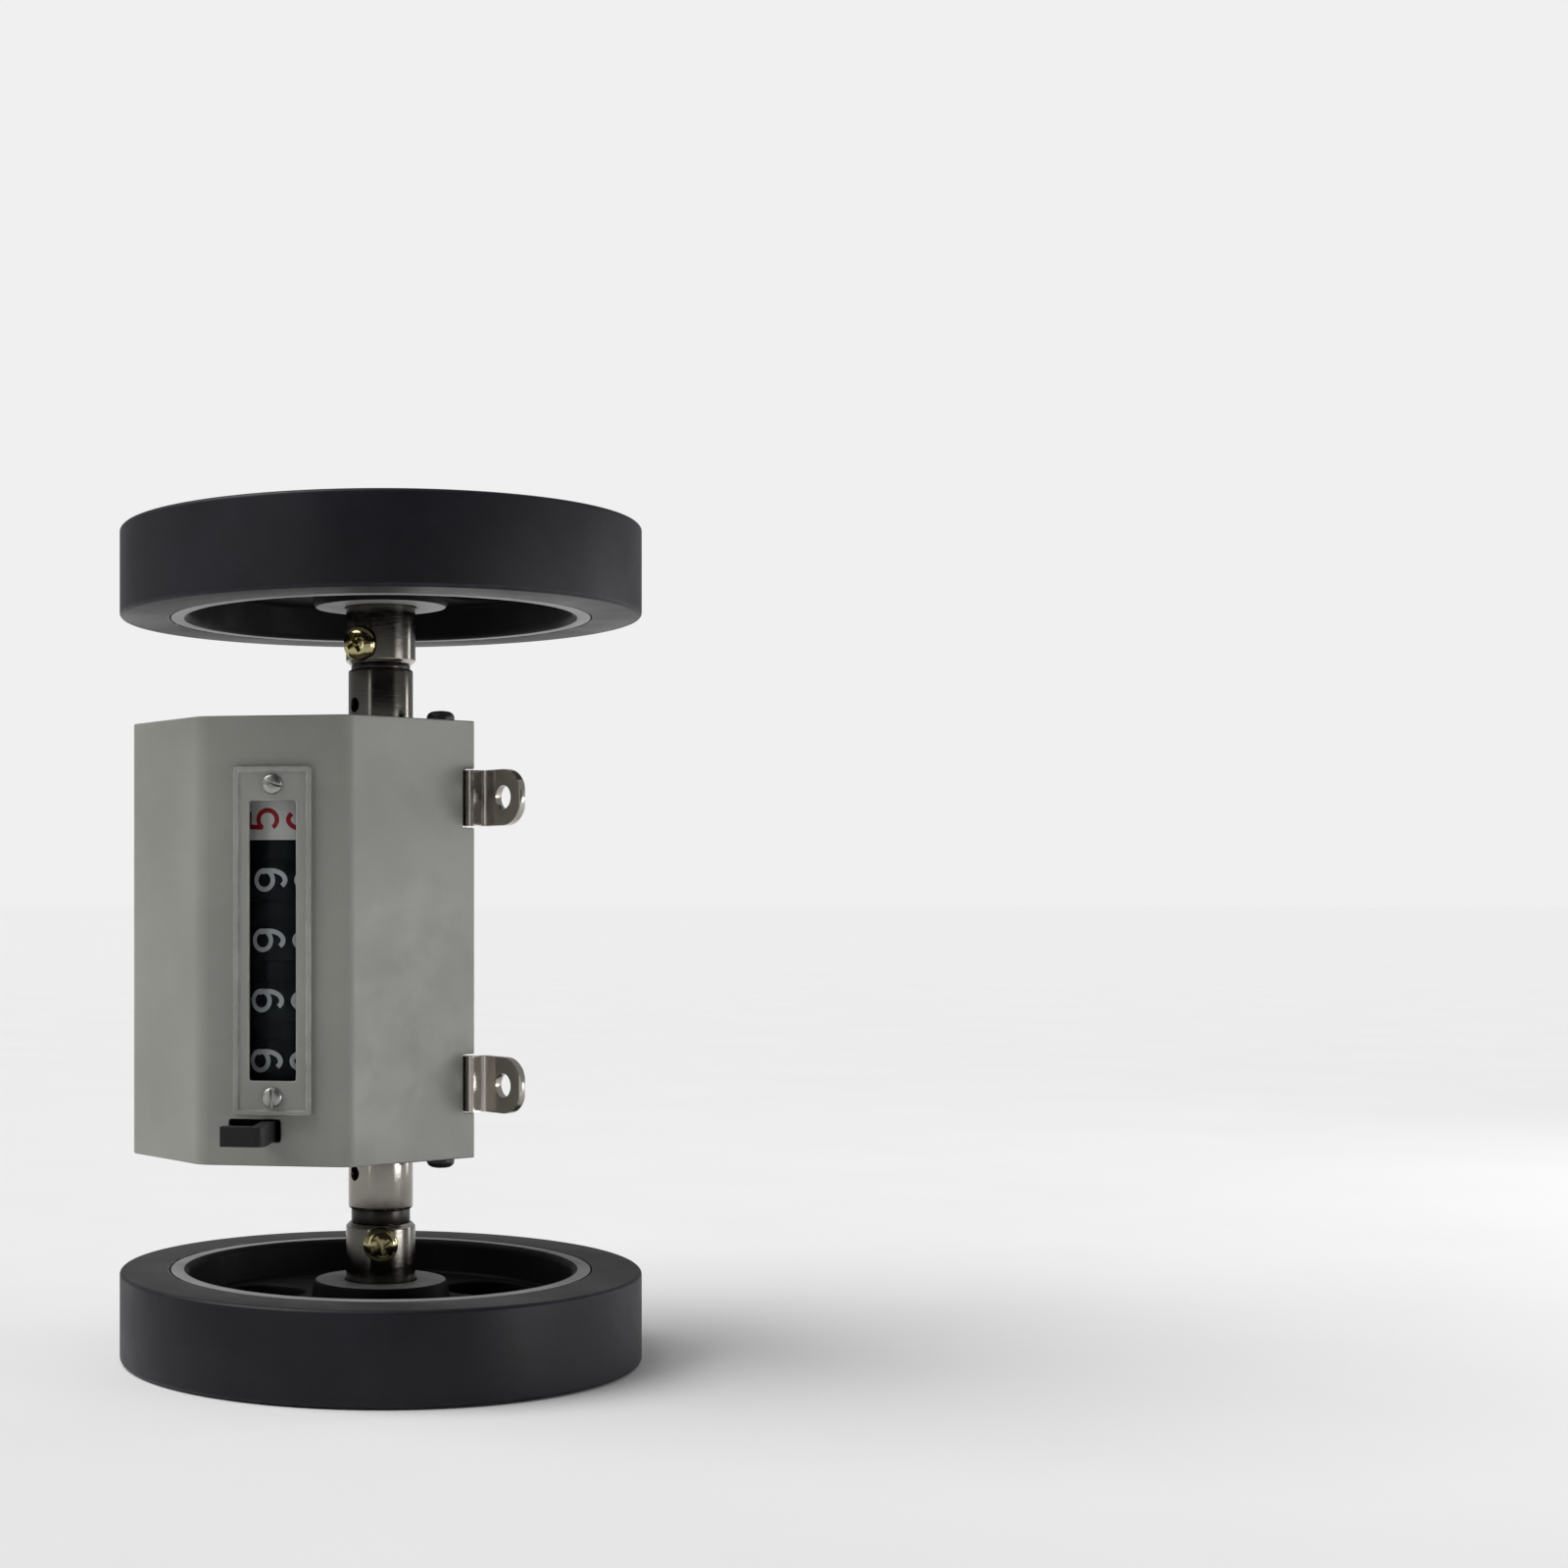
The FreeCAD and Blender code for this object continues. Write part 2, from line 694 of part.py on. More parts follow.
def cover():
    """Folded sheet casing, open at its base, with window, lever slot, lug notches and shaft slots."""
    body = new_body("cover")
    outside = new_sketch(body, "cover_outside", lift=COVER_LOW)
    shell = casing_profile("0", "cover_base")
    outline(outside, shell)
    block = pad(body, outside, "cover_length")
    fillet_upright(body, block, shell[1:4], "bend_radius")
    inside = new_sketch(body, "cover_inside", lift=PLATE_HIGH)
    outline(inside, casing_profile("cover_sheet", "cover_base + 1"))
    pocket(body, inside, "cover_length - 2 * cover_sheet")

    half_slot = "(bearing_spigot_radius + fit_gap)"
    shaft_slot = new_sketch(body, "shaft_slot", lift=f"{COVER_HIGH} + 1")
    rectangle(shaft_slot, "0", f"-{half_slot}", "cover_base + 1", half_slot)
    pocket(body, shaft_slot)
    slot_end = new_sketch(body, "shaft_slot_end", lift=f"{COVER_HIGH} + 1")
    circle(slot_end, "0", "0", half_slot)
    pocket(body, slot_end)

    notches = new_sketch(body, "lug_notches", "XZ_Plane")
    for side in ("-1", "1"):
        middle = f"({LUG_LEVEL} + {side} * lug_spacing / 2)"
        rectangle(notches, f"{BASE_TOP} - fit_gap", f"{middle} - lug_width / 2 - fit_gap",
                  "cover_base + 1", f"{middle} + lug_width / 2 + fit_gap")
    pocket(body, notches, "2 * (cover_rear + cover_front)", both_ways=True)

    window = facet_sketch(body, "window_opening")
    half_width = "(window_width / 2 + fit_gap)"
    half_length = "(window_length / 2 + fit_gap)"
    rectangle(window, f"-{half_width}", f"-{half_length}", half_width, half_length)
    slot_low = f"{LEVER_LOW} - fit_gap - {WINDOW_LEVEL}"
    slot_high = f"{LEVER_HIGH} + fit_gap - {WINDOW_LEVEL}"
    facet_reach = f"({COUNTER_X} + {COUNTER_Y} - {FACET_X} - {FACET_Y}) / sqrt(2)"
    swept = f"({facet_reach}) * tan(lever_swing) + lever_strip"
    rectangle(window, f"-({swept})", slot_low, "lever_strip", slot_high)
    for side in ("-1", "1"):
        circle(window, "0", f"{side} * bezel_screw_spacing / 2", "bezel_screw_radius")
    pocket(body, window, "2 * cover_sheet")

    screw_holes = new_sketch(body, "cover_screw_holes", lift=f"{COVER_HIGH} + 1")
    for side in ("-1", "1"):
        circle(screw_holes, SCREW_BASE, f"{COVER_MIDDLE} + {side} * {SCREW_REACH}", "cover_screw_radius")
    pocket(body, screw_holes)
    return body


def side_plate(name, low, inward):
    """Bearing plate across one end of the casing, with a flange folded along the base plate."""
    body = new_body(name)
    plate = new_sketch(body, name + "_outline", lift=low)
    outline(plate, casing_profile("cover_sheet + fit_gap", BASE_TOP))
    pad(body, plate, "plate_sheet")
    fold = f"{low} + plate_sheet" if inward > 0 else f"{low} - flange_depth"
    flange = new_sketch(body, name + "_flange", lift=fold)
    inset = "(cover_sheet + fit_gap)"
    rectangle(flange, f"{BASE_TOP} - flange_sheet", f"{inset} - cover_front",
              BASE_TOP, f"cover_rear - {inset}")
    pad(body, flange, "flange_depth")
    holes = new_sketch(body, name + "_holes", lift=f"{low} + plate_sheet + 1")
    circle(holes, "0", "0", "bearing_spigot_radius")
    circle(holes, COUNTER_X, COUNTER_Y, "counter_shaft_radius + running_gap")
    circle(holes, PINION_X, PINION_Y, "pinion_shaft_radius")
    for side in ("-1", "1"):
        circle(holes, SCREW_BASE, f"{COVER_MIDDLE} + {side} * {SCREW_REACH}", "cover_screw_radius")
    pocket(body, holes, "plate_sheet + 2")
    rivet_holes = new_sketch(body, name + "_rivet_holes", "YZ_Plane", "cover_base")
    rivet_level = rivet_place(inward)
    for side in ("-1", "1"):
        circle(rivet_holes, f"{COVER_MIDDLE} + {side} * {RIVET_REACH}", rivet_level, "rivet_radius")
    pocket(body, rivet_holes, f"cover_base - {BASE_TOP} + flange_sheet + 1")
    return body


def rivet_place(inward):
    """Level of the rivets through one flange."""
    if inward > 0:
        return f"{BAY_LOW} + flange_depth / 2"
    return f"{BAY_HIGH} - flange_depth / 2"


def base_plate():
    """Plate that closes the base and carries four joggled lugs with round tips."""
    body = new_body("base_plate")
    inset = "(cover_sheet + fit_gap)"
    plate = new_sketch(body, "base_outline", "YZ_Plane", BASE_TOP)
    rectangle(plate, f"{inset} - cover_front", f"{COVER_LOW} + {inset}",
              f"cover_rear - {inset}", f"{COVER_HIGH} - {inset}")
    for inward in (1, -1):
        for side in ("-1", "1"):
            circle(plate, f"{COVER_MIDDLE} + {side} * {RIVET_REACH}", rivet_place(inward), "rivet_radius")
    pad(body, plate, "base_sheet")
    half_depth = "(cover_rear + cover_front) / 2"
    for edge in ("-1", "1"):
        for level_side in ("-1", "1"):
            label = f"lug_{edge}_{level_side}".replace("-", "minus")
            middle = f"({LUG_LEVEL} + {level_side} * lug_spacing / 2)"
            fold_in = f"{COVER_MIDDLE} + {edge} * ({half_depth} + fit_gap)"
            fold_out = f"{COVER_MIDDLE} + {edge} * ({half_depth} + fit_gap + base_sheet)"
            start = f"{COVER_MIDDLE} + {edge} * ({half_depth} - {inset})"
            hole = f"{COVER_MIDDLE} + {edge} * {LUG_REACH}"
            joggle = new_sketch(body, label + "_joggle", lift=f"{middle} - lug_width / 2")
            outline(joggle, [
                (BASE_TOP, start),
                (BASE_TOP, fold_out),
                (FOOT_TOP, fold_out),
                (FOOT_TOP, hole),
                (f"{FOOT_TOP} + base_sheet", hole),
                (f"{FOOT_TOP} + base_sheet", fold_in),
                (f"{BASE_TOP} + base_sheet", fold_in),
                (f"{BASE_TOP} + base_sheet", start),
            ])
            pad(body, joggle, "lug_width")
            tip = new_sketch(body, label + "_tip", "YZ_Plane", FOOT_TOP)
            circle(tip, hole, middle, "lug_width / 2")
            pad(body, tip, "base_sheet")
            bore = new_sketch(body, label + "_hole", "YZ_Plane", f"{FOOT_TOP} + base_sheet + 1")
            circle(bore, hole, middle, "lug_hole_radius")
            pocket(body, bore, "base_sheet + 2")
    return body


def frame_rivets():
    """Four rivets through the flanges and the base plate, each head inside the casing."""
    rivets = []
    for inward in (1, -1):
        for side in ("-1", "1"):
            name = f"rivet_{len(rivets) + 1}"
            length = "flange_sheet + base_sheet"
            body = screw(name, "rivet_radius", length, "rivet_head_radius", "rivet_head_height")
            point_along(body, FreeCAD.Vector(-1, 0, 0), f"{BASE_TOP} - flange_sheet",
                        f"{COVER_MIDDLE} + {side} * {RIVET_REACH}", rivet_place(inward))
            rivets.append(body)
    group("frame_rivets", rivets)


def shaft_bearing(name, face, outward):
    """Plated bearing boss on the end of the casing, with an oil hole facing the top."""
    body = new_body(name)
    bore = "(shaft_radius + running_gap)"
    outer = f"{face} + ({outward}) * bearing_reach"
    inner = f"{face} - ({outward}) * (cover_sheet + plate_sheet + bearing_spigot_step)"
    turned(body, name + "_profile", [
        (bore, outer),
        ("bearing_radius - rim_bevel / 2", outer),
        ("bearing_radius", f"{outer} - ({outward}) * rim_bevel / 2"),
        ("bearing_radius", face),
        ("bearing_spigot_radius", face),
        ("bearing_spigot_radius", inner),
        (bore, inner),
    ])
    oil_level = f"{face} + ({outward}) * oil_hole_stand"
    drill_radially(body, name + "_oil_hole", "oil_hole_radius", "180", oil_level, "bearing_radius")
    return body


def cover_screws():
    """Black pan-head screws, two through each end of the casing."""
    screws = []
    for face, direction in ((COVER_LOW, -1), (COVER_HIGH, 1)):
        for side in ("-1", "1"):
            name = f"cover_screw_{len(screws) + 1}"
            body = screw(name, "cover_screw_radius", "cover_screw_length", "cover_head_radius",
                         "cover_head_height")
            drive_cross(body, "cover_head_radius", "cover_head_height")
            point_along(body, FreeCAD.Vector(0, 0, direction), SCREW_BASE,
                        f"{COVER_MIDDLE} + {side} * {SCREW_REACH}", face)
            screws.append(body)
    group("cover_screws", screws)


# Window

def window_bezel():
    """Frame screwed over the window, with a raised lip round its edge."""
    body = new_body("window_bezel")
    frame = facet_sketch(body, "bezel_outline")
    rectangle(frame, "-bezel_width / 2", "-bezel_length / 2", "bezel_width / 2", "bezel_length / 2")
    pad(body, frame, "bezel_plate + bezel_rim_height")
    recess = facet_sketch(body, "bezel_recess", "bezel_plate + bezel_rim_height")
    half_width = "(bezel_width / 2 - bezel_rim_width)"
    half_length = "(bezel_length / 2 - bezel_rim_width)"
    rectangle(recess, f"-{half_width}", f"-{half_length}", half_width, half_length)
    pocket(body, recess, "bezel_rim_height")
    opening = facet_sketch(body, "bezel_opening", "bezel_plate + bezel_rim_height")
    rectangle(opening, "-window_width / 2", "-window_length / 2", "window_width / 2", "window_length / 2")
    for side in ("-1", "1"):
        circle(opening, "0", f"{side} * bezel_screw_spacing / 2", "bezel_screw_radius")
    pocket(body, opening, "bezel_plate + bezel_rim_height + 1")
    notches = facet_sketch(body, "bezel_notches", "bezel_plate + bezel_rim_height")
    for side in ("-1", "1"):
        circle(notches, "0", f"{side} * window_length / 2", "bezel_notch_radius")
    pocket(body, notches, "bezel_rim_height + bezel_notch_depth")
    return body


def window_pane():
    """Clear sheet bonded behind the window."""
    body = new_body("window_pane")
    pane = facet_sketch(body, "pane_outline", "-cover_sheet")
    half_width = "(window_width / 2 + pane_lap)"
    half_length = "(window_length / 2 + pane_lap)"
    rectangle(pane, f"-{half_width}", f"-{half_length}", half_width, half_length)
    pad(body, pane, "pane_thickness", reverse=True)
    return body


def bezel_screws():
    screws = []
    for side in ("-1", "1"):
        name = f"bezel_screw_{len(screws) + 1}"
        length = "bezel_plate + cover_sheet + fit_gap"
        body = screw(name, "bezel_screw_radius", length, "bezel_head_radius", "bezel_head_height")
        drive_slot(body, "bezel_head_radius", "bezel_head_height")
        point_along(body, FreeCAD.Vector(-1, -1, 0), f"{FACET_X} - bezel_plate / sqrt(2)",
                    f"{FACET_Y} - bezel_plate / sqrt(2)",
                    f"{WINDOW_LEVEL} + {side} * bezel_screw_spacing / 2")
        screws.append(body)
    group("bezel_screws", screws)


# Register

def wheel_level(index):
    return f"({WINDOW_LEVEL} + ({index} - {CARRIES / 2}) * wheel_pitch)"


def number_wheel(index):
    """Moulded figure wheel: a hollow rim, a toothed ring above it and a carry disc below it."""
    name = DIGIT_NAMES[index] + "_wheel"
    takes_carry = index < CARRIES
    gives_carry = index > 0
    body = new_body(name)
    bore = "(counter_shaft_radius + running_gap)"
    half = "figure_width / 2"
    ring_root = f"(carry_module * (ring_teeth / 2 - {DEDENDUM}) - ring_wall)"
    disc_radius = f"({CARRY_TOOTH_TIP} - carry_tooth_height)"
    profile = [(bore, f"-{HUB_REACH}")]
    if gives_carry:
        profile += [
            (disc_radius, f"-{HUB_REACH}"),
            (disc_radius, f"carry_disc_width - {HUB_REACH}"),
            ("figure_hub_radius", f"carry_disc_width - {HUB_REACH}"),
        ]
    else:
        profile += [("figure_hub_radius", f"-{HUB_REACH}")]
    profile += [
        ("figure_hub_radius", f"{half} - figure_web"),
        ("figure_radius - figure_wall", f"{half} - figure_web"),
        ("figure_radius - figure_wall", f"-{half}"),
        ("figure_radius", f"-{half}"),
        ("figure_radius", half),
    ]
    if takes_carry:
        profile += [
            (RING_TIP, half),
            (RING_TIP, f"{half} + ring_width"),
            (ring_root, f"{half} + ring_width"),
            (ring_root, half),
        ]
    profile += [
        ("figure_hub_radius", half),
        ("figure_hub_radius", HUB_REACH),
        (bore, HUB_REACH),
    ]
    turned(body, name + "_profile", profile)
    if gives_carry:
        for step, side in enumerate((-1, 1)):
            tooth = new_sketch(body, f"{name}_carry_tooth_{step}", lift=f"-{HUB_REACH}")
            middle = f"{side} * carry_tooth_width"
            rectangle(tooth, "figure_hub_radius", f"{middle} - carry_tooth_width / 2",
                      CARRY_TOOTH_TIP, f"{middle} + carry_tooth_width / 2")
            pad(body, tooth, "carry_disc_width")
    if takes_carry:
        bearing = size("pinion_bearing") + 180 / size("ring_teeth")
        cut_teeth(body, name + "_tooth_space", "carry_module", "ring_teeth", f"{half} + ring_width",
                  "ring_width", bearing, "carry_addendum")
    place(body, COUNTER_X, COUNTER_Y, wheel_level(index))
    return body


def tenths_gear():
    """Spur gear on the fastest figure wheel, driven by the teeth on the shaft."""
    body = new_body("tenths_gear")
    bore = "(counter_shaft_radius + running_gap)"
    low = f"{wheel_level(CARRIES)} + {HUB_REACH}"
    tip = "gear_module * (gear_teeth / 2 + 1)"
    turned(body, "tenths_gear_profile", [
        (bore, low),
        ("gear_hub_radius", low),
        ("gear_hub_radius", GEAR_LOW),
        (tip, GEAR_LOW),
        (tip, GEAR_HIGH),
        (bore, GEAR_HIGH),
    ])
    towards_shaft = bearing_between(COUNTER_X, COUNTER_Y, "0", "0")
    cut_teeth(body, "tenths_tooth_space", "gear_module", "gear_teeth", GEAR_HIGH, "gear_width",
              towards_shaft + 180 / size("gear_teeth"))
    place(body, COUNTER_X, COUNTER_Y)
    return body


def carry_pinion(index):
    """Small pinion between two figure wheels, in mesh with the slower wheel's toothed ring."""
    name = DIGIT_NAMES[index] + "_pinion"
    body = new_body(name)
    bore = "(pinion_shaft_radius + running_gap)"
    turned(body, name + "_profile", [
        (bore, "-pinion_width / 2"),
        (PINION_TIP, "-pinion_width / 2"),
        (PINION_TIP, "pinion_width / 2"),
        (bore, "pinion_width / 2"),
    ])
    cut_teeth(body, name + "_tooth_space", "carry_module", "pinion_teeth", "pinion_width / 2",
              "pinion_width", size("pinion_bearing") + 180, "carry_addendum")
    place(body, PINION_X, PINION_Y, f"{wheel_level(index)} + wheel_pitch / 2")
    return body


def pinion_spacers():
    """Tubes that hold the carry pinions apart on their fixed shaft; the last one stops short of the gear."""
    reach = "(pinion_width / 2 + end_float / 2)"
    lows = [BAY_LOW]
    highs = []
    for index in range(CARRIES):
        middle = f"{wheel_level(index)} + wheel_pitch / 2"
        highs.append(f"{middle} - {reach}")
        lows.append(f"{middle} + {reach}")
    highs.append(f"{GEAR_LOW} - end_float")
    tubes = []
    for number, (low, high) in enumerate(zip(lows, highs), start=1):
        tube = doc.addObject("PartDesign::Body", f"pinion_spacer_{number}")
        section = new_sketch(tube, f"pinion_spacer_section_{number}", lift=low)
        circle(section, "0", "0", "spacer_radius")
        circle(section, "0", "0", "pinion_shaft_radius")
        pad(tube, section, f"({high}) - ({low})")
        place(tube, PINION_X, PINION_Y)
        tubes.append(tube)
    group("pinion_spacers", tubes)


# Reset lever

def reset_lever():
    """Bent strip on the counter shaft: hub, arm through the facet's slot, and a finger paddle."""
    body = new_body("reset_lever")
    hub = new_sketch(body, "lever_hub", lift=f"{BAY_LOW} + end_float")
    circle(hub, "0", "0", "lever_hub_radius")
    pad(body, hub, f"{LEVER_HIGH} - {BAY_LOW} - end_float")
    arm = new_sketch(body, "lever_arm", lift=LEVER_LOW)
    facet_reach = f"({COUNTER_X} + {COUNTER_Y} - {FACET_X} - {FACET_Y}) / sqrt(2)"
    outer = f"({facet_reach} + lever_stand_off)"
    half = "lever_strip / 2"
    inner = f"({outer} - lever_strip)"
    outline(arm, [
        ("0", f"-lever_inner_lean - {half}"),
        (inner, f"lever_outer_lean - {half}"),
        (inner, "-lever_tip"),
        (outer, "-lever_tip"),
        (outer, f"lever_outer_lean + {half}"),
        ("0", f"{half} - lever_inner_lean"),
    ])
    strip = pad(body, arm, "lever_thickness")
    corner = (outer, f"lever_outer_lean + {half}")
    fillet_upright(body, strip, [corner], "lever_corner")
    bore = new_sketch(body, "lever_bore", lift=f"{LEVER_HIGH} + 1")
    circle(bore, "0", "0", "counter_shaft_radius")
    pocket(body, bore, f"{LEVER_HIGH} - {BAY_LOW} + 1")
    drill_radially(body, "lever_grub_hole", "grub_radius", "180", LEVER_GRUB_LEVEL, "lever_hub_radius")
    place(body, COUNTER_X, COUNTER_Y, turn=FACET_BEARING)
    return body


def lever_grub_screw():
    grub = doc.addObject("Part::Cylinder", "lever_grub_screw")
    grub.Label = "lever_grub_screw"
    bind(grub, "Radius", "grub_radius")
    bind(grub, "Height", "lever_hub_radius - counter_shaft_radius - fit_gap")
    step = "counter_shaft_radius / sqrt(2)"
    point_along(grub, FreeCAD.Vector(1, 1, 0), f"{COUNTER_X} + {step}", f"{COUNTER_Y} + {step}",
                LEVER_GRUB_LEVEL)
    nodes.append(grub)


def shaft_clip():
    """Open ring that snaps on the upper end of the counter shaft."""
    body = new_body("shaft_clip")
    section = new_sketch(body, "clip_section", lift=CLIP_LOW)
    circle(section, "0", "0", "clip_radius")
    circle(section, "0", "0", "counter_shaft_radius")
    pad(body, section, "clip_thickness")
    mouth = new_sketch(body, "clip_mouth", lift=f"{BAY_HIGH} + 1")
    rectangle(mouth, "0", "-clip_mouth / 2", "clip_radius + 1", "clip_mouth / 2")
    pocket(body, mouth, "clip_thickness + 2")
    place(body, COUNTER_X, COUNTER_Y)


def reset_spring():
    """Close-wound torsion spring round the shaft: one leg along the lever, one past the pinion shaft."""
    body = new_body("reset_spring")
    top = "spring_turns * 2 * spring_wire_radius"
    inside = []
    outside = []
    for turn in range(int(size("spring_turns"))):
        seam = f"{turn} * 2 * spring_wire_radius"
        crest = f"({turn} * 2 + 1) * spring_wire_radius"
        for level, half_wall in ((seam, "spring_wire_radius / 2"), (crest, "spring_wire_radius")):
            outside.append((f"spring_radius + {half_wall}", level))
            inside.append((f"spring_radius - {half_wall}", level))
    outside.append(("spring_radius + spring_wire_radius / 2", top))
    inside.append(("spring_radius - spring_wire_radius / 2", top))
    turned(body, "spring_coil", outside + inside[::-1])
    lever_side = FACET_BEARING + 90
    pinion_side = size("pinion_bearing") - 90
    spring_leg(body, "lever_leg", lever_side, FACET_BEARING, "spring_wire_radius",
               "lever_hub_radius + lever_strip")
    spring_leg(body, "held_leg", pinion_side, size("pinion_bearing"), f"{top} - spring_wire_radius",
               CARRY_CENTRES)
    place(body, COUNTER_X, COUNTER_Y, f"{LEVER_HIGH} + fit_gap")


def spring_leg(body, name, start, heading, level, length):
    """Straight end of the spring wire, leaving the coil at one bearing and running along another."""
    sketch = body.newObject("Sketcher::SketchObject", name)
    sketch.AttachmentSupport = [(origin_plane(body, "XY_Plane"), "")]
    sketch.MapMode = "FlatFace"
    sketch.AttachmentOffset = FreeCAD.Placement(ORIGIN, FreeCAD.Rotation(UP, polar(1, math.radians(heading))))
    bind(sketch, "AttachmentOffset.Base.x", f"spring_radius * cos({start})")
    bind(sketch, "AttachmentOffset.Base.y", f"spring_radius * sin({start})")
    bind(sketch, "AttachmentOffset.Base.z", level)
    circle(sketch, "0", "0", "spring_wire_radius - spring_leg_trim")
    pad(body, sketch, length)


# Assembly

main_shaft()
thrust_collars()
WHEEL_TOP = "overall_length"
measuring_wheel("lower_wheel", "0", "1")
measuring_wheel("upper_wheel", WHEEL_TOP, "-1")
tyre("lower_tyre", "0")
tyre("upper_tyre", "overall_length - wheel_width")
wheel_collar("lower_collar", "0", "1", "lower_clamp_bearing")
wheel_collar("upper_collar", WHEEL_TOP, "-1", "upper_clamp_bearing")
clamp_screw("lower_clamp_screw", "0", "1", "lower_clamp_bearing")
clamp_screw("upper_clamp_screw", WHEEL_TOP, "-1", "upper_clamp_bearing")

cover()
side_plate("lower_side_plate", PLATE_LOW, 1)
side_plate("upper_side_plate", BAY_HIGH, -1)
base_plate()
frame_rivets()
shaft_bearing("lower_bearing", COVER_LOW, "-1")
shaft_bearing("upper_bearing", COVER_HIGH, "1")
cover_screws()

window_bezel()
window_pane()
bezel_screws()

for digit in range(len(DIGIT_NAMES)):
    number_wheel(digit)
for digit in range(CARRIES):
    carry_pinion(digit)
tenths_gear()
rod("pinion_shaft", "pinion_shaft_radius", PLATE_LOW, PLATE_HIGH, PINION_X, PINION_Y)
pinion_spacers()
rod("counter_shaft", "counter_shaft_radius", f"{PLATE_LOW} + fit_gap", f"{PLATE_HIGH} - fit_gap",
    COUNTER_X, COUNTER_Y)
rod("upper_spacer", "spacer_radius", f"{GEAR_HIGH} + end_float", f"{CLIP_LOW} - end_float",
    COUNTER_X, COUNTER_Y, "counter_shaft_radius + running_gap")
rod("lower_spacer", "spacer_radius", f"{LEVER_HIGH} + end_float",
    f"{wheel_level(0)} - {HUB_REACH} - end_float", COUNTER_X, COUNTER_Y, "counter_shaft_radius + running_gap")
shaft_clip()
reset_lever()
lever_grub_screw()
reset_spring()

doc.recompute()

# Checks before anything is written

for item in doc.Objects:
    if "Invalid" in item.State or "Error" in item.State:
        raise RuntimeError(f"{item.Name} did not build: {item.State}")
for node in nodes:
    if node.Shape.isNull() or not node.Shape.isValid():
        raise RuntimeError(f"{node.Label} has no valid shape")
    if not node.Shape.Solids:
        raise RuntimeError(f"{node.Label} holds no solid")

os.makedirs(PARTS_FOLDER, exist_ok=True)
for node in nodes:
    node.Shape.exportStep(os.path.join(PARTS_FOLDER, node.Label + ".step"))
    print(f"{node.Label}: {len(node.Shape.Solids)} solids, {node.Shape.Volume:.1f} cubic mm")
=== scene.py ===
import math

import bmesh
import bpy
from mathutils import Matrix, Vector


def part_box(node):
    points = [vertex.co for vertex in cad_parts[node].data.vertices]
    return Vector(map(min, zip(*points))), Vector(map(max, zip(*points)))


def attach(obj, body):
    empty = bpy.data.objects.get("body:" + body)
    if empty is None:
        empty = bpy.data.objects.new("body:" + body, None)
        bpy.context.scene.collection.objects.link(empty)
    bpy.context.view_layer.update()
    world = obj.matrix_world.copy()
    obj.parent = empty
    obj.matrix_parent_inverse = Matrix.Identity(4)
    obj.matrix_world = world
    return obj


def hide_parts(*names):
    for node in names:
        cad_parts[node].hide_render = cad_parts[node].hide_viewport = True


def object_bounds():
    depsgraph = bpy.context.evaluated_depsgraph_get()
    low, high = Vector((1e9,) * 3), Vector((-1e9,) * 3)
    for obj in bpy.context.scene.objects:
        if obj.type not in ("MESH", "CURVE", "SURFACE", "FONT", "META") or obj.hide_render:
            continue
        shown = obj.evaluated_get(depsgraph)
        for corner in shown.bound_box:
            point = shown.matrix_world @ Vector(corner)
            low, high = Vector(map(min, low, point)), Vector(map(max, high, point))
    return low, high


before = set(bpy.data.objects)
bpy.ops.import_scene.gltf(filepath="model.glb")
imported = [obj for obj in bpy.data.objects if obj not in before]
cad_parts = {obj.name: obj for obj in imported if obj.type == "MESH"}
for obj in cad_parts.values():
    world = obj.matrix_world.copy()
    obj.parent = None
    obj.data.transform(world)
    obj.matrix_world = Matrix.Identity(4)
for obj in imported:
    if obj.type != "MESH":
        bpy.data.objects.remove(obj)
cad_low, cad_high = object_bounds()

MM = 0.001
UP = Vector((0, 0, 1))
PALE = 0.87
FLAT = 0.95

# Main levels and sizes, read from the frame

WHEEL_RADIUS = (cad_high.x - cad_low.x) / 2
OVERALL = cad_high.z - cad_low.z
LOWER_WHEEL = (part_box("lower_tyre")[0].z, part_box("lower_tyre")[1].z)
WHEEL_WIDTH = LOWER_WHEEL[1] - LOWER_WHEEL[0]
UPPER_WHEEL = (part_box("upper_tyre")[0].z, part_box("upper_tyre")[1].z)
COVER_LOW, COVER_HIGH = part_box("cover")
BASE_LOW, BASE_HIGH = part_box("base_plate")
REGISTER = Vector((*((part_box("tens_wheel")[0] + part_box("tens_wheel")[1]) / 2).xy, 0))

# Sizes that the boxes don't give: round pieces go by their radii. The measuring wheels first

TYRE_INNER = 43.0 * MM
TYRE_EDGE = 0.5 * MM
RECESS = 39.0 * MM
WEB = 4.0 * MM
BOSS = 13.5 * MM
BOSS_SETBACK = 2.5 * MM
DRAFT = 0.8 * MM
HAND_HOLE = 9.0 * MM
HAND_FLARE = 0.5 * MM
HAND_CIRCLE = 27.3 * MM
HAND_HOLES = 6

# Shaft, collars, clamp screws and bearings

SHAFT = 4.0 * MM
SHAFT_BEVEL = 0.6 * MM
COLLAR = 7.1 * MM
COLLAR_REACH = 27.2 * MM
COLLAR_EDGE = 0.8 * MM
COLLAR_MOUTH = 0.9 * MM
CLAMP_INSET = 3.7 * MM
CLAMP_SHANK = 1.95 * MM
CLAMP_HEAD = 3.5 * MM
CLAMP_HEIGHT = 2.4 * MM
CLAMP_BEARINGS = {"lower": 234.5, "upper": 202.5}
BEARING = 6.6 * MM
SPIGOT = 6.0 * MM
OIL_HOLE = 1.3 * MM
OIL_STAND = 3.5 * MM
WASHER = 6.0 * MM
WASHER_PLAY = 0.15 * MM

# Casing, window, base plate and lugs

